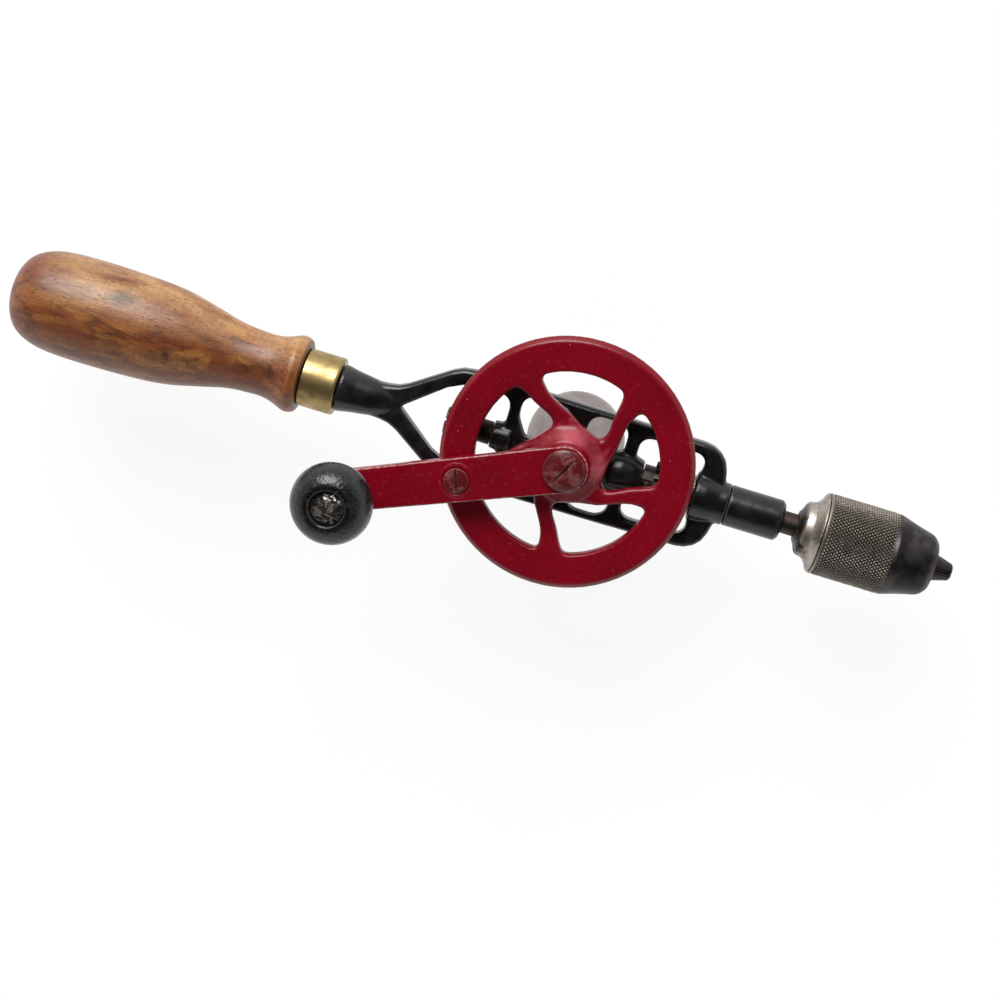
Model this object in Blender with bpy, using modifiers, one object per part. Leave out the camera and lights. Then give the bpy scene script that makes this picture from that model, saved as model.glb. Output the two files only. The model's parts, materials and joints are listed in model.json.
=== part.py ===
"""Hand drill with a turned handle, an iron frame, a geared drive wheel with crank, and a chuck.

Lengths are in metres. The drill lies on the flat end of its side handle, whose centre is the
origin. X runs along the spindle to the chuck, Y is up in the usual side view, and Z runs along
the wheel's axle to the crank. The spindle's axis and the wheel's axis cross at DRILL_CENTRE, and
the sizes along Z below are counted from that crossing unless they say otherwise.
"""

import math

import bmesh
import bpy
from mathutils import Matrix, Vector

# Fits and rounding
GAP = 0.0003
OVERRUN = 0.002
MERGE = 0.00001
ARC_STEP_DEG = 20.0
SLIGHT_TURN_DEG = 1.0
CORNER_ROOM_SHARE = 0.49
LARGE_STEPS = 72
BODY_STEPS = 36
SMALL_STEPS = 24

# Gears: the wheel drives a pinion on the spindle and an idler on the other side
WHEEL_TEETH = 63
PINION_TEETH = 14
GEAR_MODULE = 0.001333
PRESSURE_ANGLE_DEG = 20.0
TOOTH_THICKNESS_SHARE = 0.4
ADDENDUM_SHARE = 0.8
DEDENDUM_SHARE = 1.15
TOOTH_SINK_SHARE = 0.25
PINION_FLANK_SHARES = (-1.15, -0.45, 0.2, 0.8)
WHEEL_FACE = 0.0085
PINION_FACE = 0.0125
PINION_HUB_LENGTH = 0.0037
PINION_HUB_RADIUS = 0.0054
IDLER_FACE = 0.0088
IDLER_HUB_LENGTH = 0.0053
IDLER_HUB_RADIUS = 0.0041
PINION_PIN_RADIUS = 0.0009

# Drive wheel
RIM_LIP = 0.0012
RIM_WIDTH = 0.0119
RIM_BACK = 0.0027
RIM_CHAMFER = 0.0017
SPOKE_COUNT = 5
SPOKE_RIM_ANGLE_DEG = 131.5
SPOKE_SWEEP_DEG = 27.0
SPOKE_WIDTH = 0.006
SPOKE_SHARES = (
    (1.0, 0.0, 1.5), (0.77, 0.04, 1.05), (0.5, 0.2, 1.0), (0.19, 0.66, 1.1), (0.0, 1.0, 1.55),
)
SPOKE_LEAN_SHARES = (-0.02, 0.0, 0.0, 0.1, 0.0)
WINDOW_ARC_SHARES = (0, 0.2, 0.35, 0.5, 0.65, 0.8, 1)
SPOKE_THICKNESS = 0.0047
WINDOW_CORNER = 0.0042
WINDOW_HUB_CORNER = 0.0026
SPOKE_BEND = 0.009
HUB_BASE_RADIUS = 0.0132
HUB_TOP_RADIUS = 0.0086
HUB_RISE = 0.0046
BUSH_WALL = 0.0015

# Axle, hub screw and crank arm
AXLE_RADIUS = 0.005
AXLE_SCREW_RADIUS = 0.0026
HUB_SCREW_LENGTH = 0.015
HUB_SCREW_HEAD_RADIUS = 0.0072
HUB_SCREW_HEAD_HEIGHT = 0.0024
HUB_SCREW_SLOT_WIDTH = 0.0013
HUB_SCREW_SLOT_DEPTH = 0.0011
HUB_SCREW_SLOT_DEG = 62.0
CRANK_RADIUS = 0.0749
CRANK_ANGLE_DEG = 202.9
ARM_THICKNESS = 0.0039
ARM_HUB_HALF_WIDTH = 0.0079
ARM_KNOB_HALF_WIDTH = 0.0071
ARM_SCREW_PLACE = 0.0362
ARM_SCREW_RADIUS = 0.0019
ARM_SCREW_LENGTH = 0.0075
ARM_SCREW_HEAD_RADIUS = 0.0045
ARM_SCREW_HEAD_HEIGHT = 0.0009
ARM_SCREW_SLOT_WIDTH = 0.0011
ARM_SCREW_SLOT_DEPTH = 0.0005
ARM_SCREW_SLOT_DEG = 111.0
ARM_BOSS_RADIUS = 0.0056

# Crank knob, turning on a pin that is riveted in the arm
KNOB_RADIUS = 0.0137
KNOB_HEIGHT = 0.027
KNOB_PROFILE_SHARES = (
    (0.46, 1.0), (0.62, 0.982), (0.8, 0.92), (0.93, 0.83), (1.0, 0.7), (0.985, 0.6),
    (0.9, 0.46), (0.74, 0.31), (0.58, 0.2), (0.52, 0.11), (0.56, 0.0),
)
KNOB_RECESS_RADIUS = 0.006
KNOB_RECESS_DEPTH = 0.0024
KNOB_PIN_RADIUS = 0.0028
KNOB_PIN_HEAD_RADIUS = 0.0053
KNOB_PIN_HEAD_HEIGHT = 0.0014

# Iron frame, seen along the wheel's axle
PLATE_THICKNESS = 0.0068
PLATE_CHAMFER = 0.0011
RAIL_HALF_HEIGHT = 0.0196
RAIL_CLEARANCE = 0.0044
NOSE_HALF_HEIGHT = 0.0186
NOSE_WALL = 0.0085
NOSE_CORNER = 0.0125
HOLE_CORNER = 0.0055
BOSS_PROUD = 0.0004
FRONT_BAR_WIDTH = 0.0046
REAR_BAR_WIDTH = 0.0038
REAR_BAR_SETBACK = 0.0034
STRUT_HALF_WIDTH = 0.0032
SPINE_HALF_WIDTH = 0.0026
WEB_HALF_WIDTH = 0.0052
WINDOW_HEIGHT = 0.0168
AXLE_BOSS_RADIUS = 0.0092
AXLE_BOSS_TOP = 0.0077
AXLE_BOSS_DEPTH = 0.0075
REAR_BOSS_RADIUS = 0.005
REAR_BOSS_LENGTH = 0.0068
FORK_REACH = 0.0181
FORK_WAIST = 0.0064
FORK_SPREAD_LENGTH = 0.0196
FORK_BEND = 0.013
FORK_APEX_CORNER = 0.0008
COLLAR_LENGTH = 0.0214
COLLAR_RADIUS = 0.0083
COLLAR_SETBACK = 0.0005
COLLAR_PROFILE_SHARES = (
    (0.38, 1.0), (0.6, 0.82), (0.74, 0.63), (0.81, 0.46), (0.88, 0.26), (0.95, 0.12),
    (1.0, 0.03), (0.97, 0.0),
)

# Spindle and its bearings
JOURNAL_RADIUS = 0.0034
SPINDLE_RADIUS = 0.0039
BUSH_THICKNESS = 0.0009
BEARING_BOSS_RADIUS = 0.0077
BEARING_BOSS_LENGTH = 0.0128
BEARING_BOSS_SHARES = ((0.8, 1.0), (0.94, 0.75), (1.0, 0.4), (0.97, 0.13), (0.78, 0.0))
BEARING_BOSS_FLOOR = 0.0015
WASHER_THICKNESS = 0.0011
WASHER_RADIUS = 0.0068
BARREL_RADIUS = 0.0073
BARREL_LENGTH = 0.0121
BARREL_FLARE = 0.0009
SPIGOT_LENGTH = 0.0142
SLEEVE_LENGTH = 0.0193
SLEEVE_RADIUS = 0.0071
SLEEVE_WALL = 0.001
SLEEVE_CHAMFER = 0.0012
SPINDLE_NECK = 0.005
SPINDLE_THREAD_SHARE = 0.44

# Idler
IDLER_STUD_RADIUS = 0.0026
IDLER_STUD_DEPTH = 0.0052
IDLER_HEAD_RADIUS = 0.0046
IDLER_HEAD_HEIGHT = 0.0018
IDLER_SLOT_WIDTH = 0.001

# Chuck
CHUCK_COLLAR_RADIUS = 0.0096
CHUCK_COLLAR_LENGTH = 0.008
CHUCK_COLLAR_SHARES = (
    (1.45, 1.0), (1.39, 0.9), (1.2, 0.79), (1.05, 0.64), (1.0, 0.5), (0.97, 0.3),
    (0.88, 0.21), (0.62, 0.08), (0.55, 0.0),
)
CHUCK_THREAD_RADIUS = 0.0112
CHUCK_SHELL_LENGTH = 0.0398
CHUCK_SHELL_RADIUS = 0.0142
CHUCK_SHELL_SHARES = (
    (0.35, 1.0), (0.6, 0.986), (0.715, 0.947), (0.77, 0.9), (0.86, 0.778), (0.965, 0.657),
    (1.0, 0.578), (1.0, 0.02), (0.98, 0.0),
)
SPANNER_HOLE_RADIUS = 0.0013
SPANNER_HOLE_DEPTH = 0.0026
SPANNER_HOLE_DEG = 20.0
SPANNER_HOLE_SHARE = 0.3
JAW_COUNT = 3
JAW_LENGTH = 0.0192
JAW_PROUD = 0.0064
JAW_TIP_RADIUS = 0.0028
JAW_SLOPE_DEG = 16.6
JAW_TRAVEL = 0.0083
JAW_TIP_BEVEL = 0.0005
SPRING_RADIUS = 0.0026
SPRING_WIRE_RADIUS = 0.0004
SPRING_TURNS = 5
SPRING_POINTS_PER_TURN = 10
SPRING_LENGTH_SHARE = 0.327

# Handle, held by a steel tang and a brass ferrule
HANDLE_LENGTH = 0.1046
HANDLE_RADIUS = 0.0181
HANDLE_PROFILE_SHARES = (
    (0.62, 1.0), (0.7, 0.995), (0.745, 0.977), (0.74, 0.959), (0.66, 0.923),
    (0.61, 0.887), (0.605, 0.846), (0.645, 0.764), (0.78, 0.667), (0.905, 0.574),
    (0.97, 0.477), (1.0, 0.333), (1.0, 0.22), (0.985, 0.165), (0.945, 0.112),
    (0.86, 0.068), (0.73, 0.034), (0.53, 0.011), (0.27, 0.0), (0.0, 0.0),
)
FERRULE_RADIUS = 0.0101
FERRULE_LENGTH = 0.0124
FERRULE_WALL = 0.0008
FERRULE_ROUND = 0.0008
TANG_RADIUS = 0.0032
TANG_LENGTH = 0.054
TANG_THREAD_LENGTH = 0.0075

# Side handle on the far side, held by a steel stud
SIDE_HANDLE_LENGTH = 0.0342
SIDE_HANDLE_RADIUS = 0.0176
SIDE_HANDLE_SHARES = (
    (0.46, 1.0), (0.44, 0.93), (0.43, 0.87), (0.51, 0.77), (0.71, 0.63), (0.88, 0.52),
    (0.97, 0.43), (1.0, 0.34), (0.99, 0.24), (0.94, 0.13), (0.85, 0.04), (0.76, 0.0),
)
SIDE_STUD_DEPTH = 0.024
SIDE_STUD_THREAD = 0.0085

# Colours as linear red, green and blue, with roughness and metallic value
BLACK_ENAMEL = ("black_enamel", (0.012, 0.012, 0.014), 0.3, 0.0)
RED_ENAMEL = ("red_enamel", (0.17, 0.002, 0.006), 0.3, 0.0)
PAINTED_SCREW = ("painted_screw", (0.07, 0.01, 0.01), 0.5, 0.3)
VARNISHED_BEECH = ("varnished_beech", (0.3, 0.1, 0.02), 0.35, 0.0)
BRASS = ("brass", (0.5, 0.38, 0.16), 0.35, 1.0)
BRONZE = ("bronze", (0.4, 0.22, 0.1), 0.45, 1.0)
BARE_STEEL = ("bare_steel", (0.25, 0.23, 0.21), 0.45, 1.0)
RUSTED_STEEL = ("rusted_steel", (0.05, 0.035, 0.03), 0.65, 0.6)
BLUED_STEEL = ("blued_steel", (0.06, 0.055, 0.055), 0.4, 0.9)
BLACK_KNOB = ("black_knob", (0.02, 0.02, 0.02), 0.4, 0.0)
SATIN_ALUMINIUM = ("satin_aluminium", (0.4, 0.37, 0.36), 0.4, 1.0)

# Places worked out from the sizes above
PRESSURE_ANGLE = math.radians(PRESSURE_ANGLE_DEG)
WHEEL_PITCH_RADIUS = GEAR_MODULE * WHEEL_TEETH / 2
PINION_PITCH_RADIUS = GEAR_MODULE * PINION_TEETH / 2
PITCH_SLOPE = math.atan2(PINION_PITCH_RADIUS, WHEEL_PITCH_RADIUS)
DEDENDUM = DEDENDUM_SHARE * GEAR_MODULE
ADDENDUM = ADDENDUM_SHARE * GEAR_MODULE
PINION_TIP_RADIUS = PINION_PITCH_RADIUS + ADDENDUM * math.cos(PITCH_SLOPE)
PINION_END = WHEEL_PITCH_RADIUS
PINION_BACK = PINION_END - PINION_FACE - PINION_HUB_LENGTH
AXIS_HEIGHT = SIDE_HANDLE_LENGTH + GAP + AXLE_BOSS_DEPTH
DRILL_CENTRE = Vector((0, 0, AXIS_HEIGHT))
ALONG_X = Matrix.Rotation(math.radians(90), 4, "Y")

ROOT_RISE = PINION_PITCH_RADIUS + DEDENDUM * math.cos(PITCH_SLOPE)
ROOT_REACH = WHEEL_PITCH_RADIUS - DEDENDUM * math.sin(PITCH_SLOPE)
ROOT_SLOPE = ROOT_RISE / ROOT_REACH
WHEEL_RADIUS = WHEEL_PITCH_RADIUS + RIM_LIP
RIM_INNER_RADIUS = WHEEL_RADIUS - RIM_WIDTH
RIM_TOP = WHEEL_RADIUS * ROOT_SLOPE + RIM_BACK
SPOKE_BOTTOM = RIM_TOP - SPOKE_THICKNESS
HUB_BOTTOM = AXLE_BOSS_TOP + GAP
HUB_TOP = RIM_TOP + HUB_RISE
ARM_BOTTOM = HUB_TOP + GAP
ARM_TOP = ARM_BOTTOM + ARM_THICKNESS
AXLE_BORE_RADIUS = AXLE_RADIUS + GAP
AXLE_SCREW_BORE_RADIUS = AXLE_SCREW_RADIUS + GAP
AXLE_BOTTOM = -AXLE_BOSS_DEPTH
AXLE_TOP = ARM_TOP + GAP
SPOKE_HUB_REACH = HUB_BASE_RADIUS * 1.05
HUB_BORE_RADIUS = AXLE_BORE_RADIUS + BUSH_WALL + GAP
CRANK_ANGLE = math.radians(CRANK_ANGLE_DEG)
KNOB_PLACE = Vector((math.cos(CRANK_ANGLE), math.sin(CRANK_ANGLE), 0)) * CRANK_RADIUS
ARM_SCREW_CENTRE = Vector((math.cos(CRANK_ANGLE), math.sin(CRANK_ANGLE), 0)) * ARM_SCREW_PLACE

BEARING_BOSS_FRONT = PINION_BACK - GAP
BEARING_BOSS_BACK = BEARING_BOSS_FRONT - BEARING_BOSS_LENGTH
BARREL_BACK = PINION_END + GAP + WASHER_THICKNESS + GAP
BARREL_FRONT = BARREL_BACK + BARREL_LENGTH
SPIGOT_FRONT = BARREL_FRONT + SPIGOT_LENGTH
SLEEVE_BACK = BARREL_FRONT + GAP
SLEEVE_FRONT = SLEEVE_BACK + SLEEVE_LENGTH
BUSH_INNER_RADIUS = JOURNAL_RADIUS + GAP
BUSH_OUTER_RADIUS = BUSH_INNER_RADIUS + BUSH_THICKNESS
BUSH_BORE_RADIUS = BUSH_OUTER_RADIUS + GAP
SLEEVE_INNER_RADIUS = SLEEVE_RADIUS - SLEEVE_WALL
SPIGOT_RADIUS = SLEEVE_INNER_RADIUS - GAP
SHOULDER = SPIGOT_FRONT + GAP
PINION_BORE_RADIUS = JOURNAL_RADIUS + GAP
CHUCK_BACK = SLEEVE_FRONT + SPINDLE_NECK
SPINDLE_BACK = BEARING_BOSS_BACK + BEARING_BOSS_FLOOR + GAP

IDLER_BACK = WHEEL_PITCH_RADIUS - IDLER_FACE - IDLER_HUB_LENGTH
REAR_BOSS_OUTER = -IDLER_BACK + GAP
REAR_BOSS_INNER = REAR_BOSS_OUTER + REAR_BOSS_LENGTH
REAR_BAR_OUTER = REAR_BOSS_OUTER + REAR_BAR_SETBACK
REAR_BAR_INNER = REAR_BAR_OUTER + REAR_BAR_WIDTH
FRONT_BAR_OUTER = BEARING_BOSS_FRONT - FRONT_BAR_WIDTH * 0.8
FRONT_BAR_INNER = FRONT_BAR_OUTER - FRONT_BAR_WIDTH
PINION_ROOM = PINION_TIP_RADIUS + RAIL_CLEARANCE
FORK_OUTER_END = -(WHEEL_PITCH_RADIUS + GAP + IDLER_HEAD_HEIGHT)
FORK_APEX = FORK_OUTER_END - FORK_REACH + IDLER_HEAD_HEIGHT
COLLAR_FRONT = FORK_APEX - COLLAR_SETBACK
COLLAR_BACK = COLLAR_FRONT - COLLAR_LENGTH
FERRULE_FRONT = COLLAR_BACK - GAP
FERRULE_BACK = FERRULE_FRONT - FERRULE_LENGTH
TENON_FRONT = FERRULE_FRONT - FERRULE_WALL - GAP
TENON_RADIUS = FERRULE_RADIUS - FERRULE_WALL - GAP
HANDLE_FRONT = FERRULE_BACK - GAP
HANDLE_BACK = HANDLE_FRONT - HANDLE_LENGTH
TANG_FRONT = COLLAR_BACK + TANG_THREAD_LENGTH
TANG_BACK = TANG_FRONT - TANG_LENGTH

SHELL_BACK = CHUCK_BACK + CHUCK_COLLAR_LENGTH + GAP
SHELL_FRONT = SHELL_BACK + CHUCK_SHELL_LENGTH
CHUCK_THREAD_BACK = CHUCK_BACK + CHUCK_COLLAR_LENGTH
SHELL_BORE_RADIUS = CHUCK_THREAD_RADIUS + GAP
JAW_SLOPE = math.radians(JAW_SLOPE_DEG)
JAW_FRONT = SHELL_FRONT + JAW_PROUD
JAW_BACK = JAW_FRONT - JAW_LENGTH
NOSE_MOUTH_RADIUS = JAW_TIP_RADIUS + JAW_PROUD * math.tan(JAW_SLOPE) + GAP
CONE_LENGTH = (SHELL_BORE_RADIUS - NOSE_MOUTH_RADIUS) / math.tan(JAW_SLOPE)
CHUCK_THREAD_FRONT = SHELL_FRONT - CONE_LENGTH - GAP
CHUCK_BODY_LENGTH = CHUCK_THREAD_FRONT - CHUCK_BACK
SPINDLE_FRONT = CHUCK_BACK + CHUCK_BODY_LENGTH * SPINDLE_THREAD_SHARE
SPRING_LENGTH = CHUCK_BODY_LENGTH * SPRING_LENGTH_SHARE
SPRING_PITCH = SPRING_LENGTH / SPRING_TURNS
SPRING_BORE_RADIUS = SPRING_RADIUS + SPRING_WIRE_RADIUS + GAP


def make_collection(name):
    """A collection of this name in the scene."""
    group = bpy.data.collections.new(name)
    bpy.context.scene.collection.children.link(group)
    return group


def make_material(name, colour, roughness, metallic):
    """A plain surface colour for one kind of metal, wood or paint."""
    material = bpy.data.materials.get(name)
    if material:
        return material
    material = bpy.data.materials.new(name)
    material.use_nodes = True
    shader = material.node_tree.nodes["Principled BSDF"]
    shader.inputs["Base Color"].default_value = (*colour, 1)
    shader.inputs["Roughness"].default_value = roughness
    shader.inputs["Metallic"].default_value = metallic
    return material


def add_part(name, mesh, finish, turn=None, place=DRILL_CENTRE):
    """A named piece whose origin lies at the given place."""
    part = bpy.data.objects.new(name, mesh)
    mesh.materials.append(make_material(*finish))
    part.matrix_world = Matrix.Translation(place) @ (turn or Matrix())
    bpy.data.collections["hand_drill"].objects.link(part)
    return part


def add_tool(mesh, turn=None, place=DRILL_CENTRE):
    """A hidden solid that is cut from a piece or joined to it."""
    tool = bpy.data.objects.new("tool", mesh)
    tool.matrix_world = Matrix.Translation(place) @ (turn or Matrix())
    tool.hide_render = True
    tool.display_type = "WIRE"
    bpy.data.collections["cutters"].objects.link(tool)
    return tool


def combine(part, tool, operation):
    """Cut the tool from the piece, or join the two into one body."""
    change = part.modifiers.new(operation.lower(), "BOOLEAN")
    change.operation = operation
    change.object = tool


def cut(part, tool):
    combine(part, tool, "DIFFERENCE")


def join(part, tool):
    combine(part, tool, "UNION")


def turned_mesh(outline, steps, closed=False):
    """Turn an outline of (radius, height) points, which runs down its outer side, about Z."""
    mesh = bpy.data.meshes.new("turned")
    points = [(radius, 0, height) for radius, height in outline]
    edges = [(index, index + 1) for index in range(len(points) - 1)]
    if closed:
        edges.append((len(points) - 1, 0))
    mesh.from_pydata(points, edges, [])
    holder = bpy.data.objects.new("turning", mesh)
    bpy.context.scene.collection.objects.link(holder)
    screw = holder.modifiers.new("turn", "SCREW")
    screw.steps = steps
    screw.render_steps = steps
    screw.use_merge_vertices = True
    screw.merge_threshold = MERGE
    result = evaluated_mesh(holder)
    result.shade_smooth()
    result.set_sharp_from_angle(angle=math.radians(35))
    return result


def evaluated_mesh(holder):
    """The finished mesh of an object with modifiers or of a curve, which is then removed."""
    bpy.context.view_layer.update()
    graph = bpy.context.evaluated_depsgraph_get()
    mesh = bpy.data.meshes.new_from_object(holder.evaluated_get(graph))
    bpy.data.objects.remove(holder)
    shape = bmesh.new()
    shape.from_mesh(mesh)
    bmesh.ops.remove_doubles(shape, verts=shape.verts, dist=MERGE)
    shape.to_mesh(mesh)
    shape.free()
    return mesh


def solid_outline(outer):
    """Close an outer outline onto the axis at both ends."""
    top = [] if outer[0][0] == 0 else [(0, outer[0][1])]
    bottom = [] if outer[-1][0] == 0 else [(0, outer[-1][1])]
    return top + list(outer) + bottom


def rod_mesh(radius, low, high, steps=SMALL_STEPS):
    """A plain round bar along Z."""
    return turned_mesh(solid_outline([(radius, high), (radius, low)]), steps)


def ring_mesh(inner, outer, low, high, steps=SMALL_STEPS):
    """A plain tube along Z."""
    outline = [(outer, high), (outer, low), (inner, low), (inner, high)]
    return turned_mesh(outline, steps, closed=True)


def box_mesh(size, centre):
    """A box of this size about a centre."""
    shape = bmesh.new()
    bmesh.ops.create_cube(shape, size=1)
    bmesh.ops.scale(shape, vec=size, verts=shape.verts)
    bmesh.ops.translate(shape, vec=centre, verts=shape.verts)
    mesh = bpy.data.meshes.new("box")
    shape.to_mesh(mesh)
    shape.free()
    return mesh


def rounded(corners):
    """The points of a closed outline whose corners (x, y, radius) are rounded with arcs."""
    points = []
    count = len(corners)
    for index, (x, y, radius) in enumerate(corners):
        corner = Vector((x, y))
        before = Vector(corners[index - 1][:2]) - corner
        after = Vector(corners[(index + 1) % count][:2]) - corner
        opening = before.angle(after)
        turn = math.pi - opening
        if radius == 0 or turn < math.radians(SLIGHT_TURN_DEG):
            points.append(corner)
            continue
        room = min(before.length, after.length) * CORNER_ROOM_SHARE
        reach = min(radius / math.tan(opening / 2), room)
        radius = reach * math.tan(opening / 2)
        before.normalize()
        after.normalize()
        centre = corner + (before + after).normalized() * radius / math.sin(opening / 2)
        start = corner + before * reach - centre
        side = 1 if before.cross(after) < 0 else -1
        steps = max(1, round(math.degrees(turn) / ARC_STEP_DEG))
        for step in range(steps + 1):
            arc = Matrix.Rotation(side * turn * step / steps, 2)
            points.append(centre + arc @ start)
    return points


def plate_mesh(outlines, low, high, chamfer=0):
    """A flat plate between two heights, from an outer outline and the outlines of its holes."""
    curve = bpy.data.curves.new("outline", "CURVE")
    curve.dimensions = "2D"
    curve.fill_mode = "BOTH"
    curve.extrude = (high - low) / 2 - chamfer
    curve.bevel_depth = chamfer
    curve.bevel_resolution = 0
    curve.offset = -chamfer
    for outline in outlines:
        spline = curve.splines.new("POLY")
        spline.points.add(len(outline) - 1)
        for point, (x, y) in zip(spline.points, outline):
            point.co = (x, y, 0, 1)
        spline.use_cyclic_u = True
    holder = bpy.data.objects.new("plate", curve)
    bpy.context.scene.collection.objects.link(holder)
    mesh = facing_out(evaluated_mesh(holder))
    mesh.transform(Matrix.Translation((0, 0, (low + high) / 2)))
    return mesh


def facing_out(mesh):
    """The mesh with every face turned outwards."""
    shape = bmesh.new()
    shape.from_mesh(mesh)
    bmesh.ops.recalc_face_normals(shape, faces=shape.faces)
    shape.to_mesh(mesh)
    shape.free()
    return mesh


def loft_mesh(loops):
    """A closed body through loops of equally many points, closed with a face at each end."""
    shape = bmesh.new()
    rings = [[shape.verts.new(point) for point in loop] for loop in loops]
    for ring, following in zip(rings, rings[1:]):
        for index in range(len(ring)):
            nearby = index - 1
            shape.faces.new((ring[nearby], ring[index], following[index], following[nearby]))
    shape.faces.new(list(reversed(rings[0])))
    shape.faces.new(rings[-1])
    bmesh.ops.recalc_face_normals(shape, faces=shape.faces)
    mesh = bpy.data.meshes.new("loft")
    shape.to_mesh(mesh)
    shape.free()
    return mesh


def merged(pieces):
    """One mesh from (mesh, turn) pairs that stand clear of each other."""
    shape = bmesh.new()
    for piece, turn in pieces:
        piece.transform(turn)
        shape.from_mesh(piece)
        bpy.data.meshes.remove(piece)
    mesh = bpy.data.meshes.new("merged")
    shape.to_mesh(mesh)
    shape.free()
    return mesh


def shares_to_outline(shares, radius, low, length):
    """An outline of (radius, height) points from shares of a radius and of a length."""
    return [(radius * wide, low + length * far) for wide, far in shares]


def polar(radius, degrees):
    """A point at a radius and an angle."""
    return radius * math.cos(math.radians(degrees)), radius * math.sin(math.radians(degrees))


def involute(angle):
    return math.tan(angle) - angle


def tooth_half_width(height, rolling_radius):
    """Half the width of an involute tooth at a height above the pitch line."""
    base = rolling_radius * math.cos(PRESSURE_ANGLE)
    radius = max(rolling_radius + height, base)
    flank = math.acos(base / radius)
    pitch_half = math.pi * GEAR_MODULE * TOOTH_THICKNESS_SHARE / 2
    spread = pitch_half / rolling_radius + involute(PRESSURE_ANGLE) - involute(flank)
    return spread * (rolling_radius + height)


def pinion_section(place):
    """The toothed outline of the pinion in the plane at this distance from the wheel's axis."""
    rolling_radius = PINION_PITCH_RADIUS / math.cos(PITCH_SLOPE)
    heights = [share * GEAR_MODULE for share in PINION_FLANK_SHARES]
    flank = []
    for height in heights:
        radius = PINION_PITCH_RADIUS + height * math.cos(PITCH_SLOPE)
        reach = WHEEL_PITCH_RADIUS - height * math.sin(PITCH_SLOPE)
        angle = tooth_half_width(height, rolling_radius) / radius
        flank.append((radius * place / reach, angle))
    section = []
    for tooth in range(PINION_TEETH):
        middle = math.tau * tooth / PINION_TEETH
        sides = [(radius, middle - angle) for radius, angle in flank]
        sides += [(radius, middle + angle) for radius, angle in reversed(flank)]
        for radius, angle in sides:
            section.append((place, radius * math.sin(angle), radius * math.cos(angle)))
    return section


def wheel_tooth_section(reach_end):
    """The four corners of one wheel tooth on the cylinder of this radius, centred on angle 0."""
    rolling_radius = WHEEL_PITCH_RADIUS / math.sin(PITCH_SLOPE)
    foot = -(DEDENDUM_SHARE + TOOTH_SINK_SHARE) * GEAR_MODULE
    corners = []
    for height, side in ((foot, -1), (ADDENDUM, -1), (ADDENDUM, 1), (foot, 1)):
        reach = WHEEL_PITCH_RADIUS + height * math.sin(PITCH_SLOPE)
        rise = PINION_PITCH_RADIUS - height * math.cos(PITCH_SLOPE)
        angle = side * tooth_half_width(height, rolling_radius) / reach
        scale = reach_end / reach
        corners.append((reach_end * math.cos(angle), reach_end * math.sin(angle), rise * scale))
    return corners


def wheel_teeth_mesh():
    """All the teeth of the drive wheel, half a pitch off the spindle's side."""
    tooth = loft_mesh([
        wheel_tooth_section(WHEEL_PITCH_RADIUS - WHEEL_FACE),
        wheel_tooth_section(WHEEL_PITCH_RADIUS),
    ])
    teeth = []
    for index in range(WHEEL_TEETH):
        turn = Matrix.Rotation(math.tau * (index + 0.5) / WHEEL_TEETH, 4, "Z")
        teeth.append((tooth.copy(), turn))
    return merged(teeth)


def spoke_edge(index, side):
    """The edge of a curved spoke from the rim in to the hub, as (radius, degrees) points."""
    pitch = 360 / SPOKE_COUNT
    rim_angle = SPOKE_RIM_ANGLE_DEG + pitch * index
    lean = pitch * SPOKE_LEAN_SHARES[index % SPOKE_COUNT % len(SPOKE_LEAN_SHARES)]
    length = RIM_INNER_RADIUS - SPOKE_HUB_REACH
    edge = []
    for reach_share, sweep_share, width_share in SPOKE_SHARES:
        reach = SPOKE_HUB_REACH + length * reach_share
        half = math.degrees(SPOKE_WIDTH * width_share / 2 / reach)
        middle = rim_angle + lean * (1 - sweep_share) - SPOKE_SWEEP_DEG * sweep_share
        edge.append((reach, middle + side * half))
    return edge


def window_outline(index):
    """The outline of the opening between one spoke and the next."""
    first = spoke_edge(index, 1)
    second = spoke_edge((index + 1) % SPOKE_COUNT, -1)
    if index + 1 == SPOKE_COUNT:
        second = [(reach, degrees + 360) for reach, degrees in second]
    start = first[0][1]
    sweep = second[0][1] - start
    corners = []
    for share in WINDOW_ARC_SHARES:
        radius = WINDOW_CORNER if share in (0, 1) else 0
        corners.append((*polar(RIM_INNER_RADIUS, start + sweep * share), radius))
    corners += [(*polar(*place), SPOKE_BEND) for place in second[1:-1]]
    corners += [(*polar(*second[-1]), WINDOW_HUB_CORNER), (*polar(*first[-1]), WINDOW_HUB_CORNER)]
    corners += [(*polar(*place), SPOKE_BEND) for place in reversed(first[1:-1])]
    return rounded(corners)


def cut_slot(part, top, width, depth, length, degrees, centre):
    """A screwdriver slot across the head of a screw."""
    size = (length * 2 + OVERRUN, width, depth + OVERRUN)
    middle = Vector((0, 0, top + (OVERRUN - depth) / 2))
    turn = Matrix.Rotation(math.radians(degrees), 4, "Z")
    cut(part, add_tool(box_mesh(size, middle), turn, DRILL_CENTRE + centre))


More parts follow.
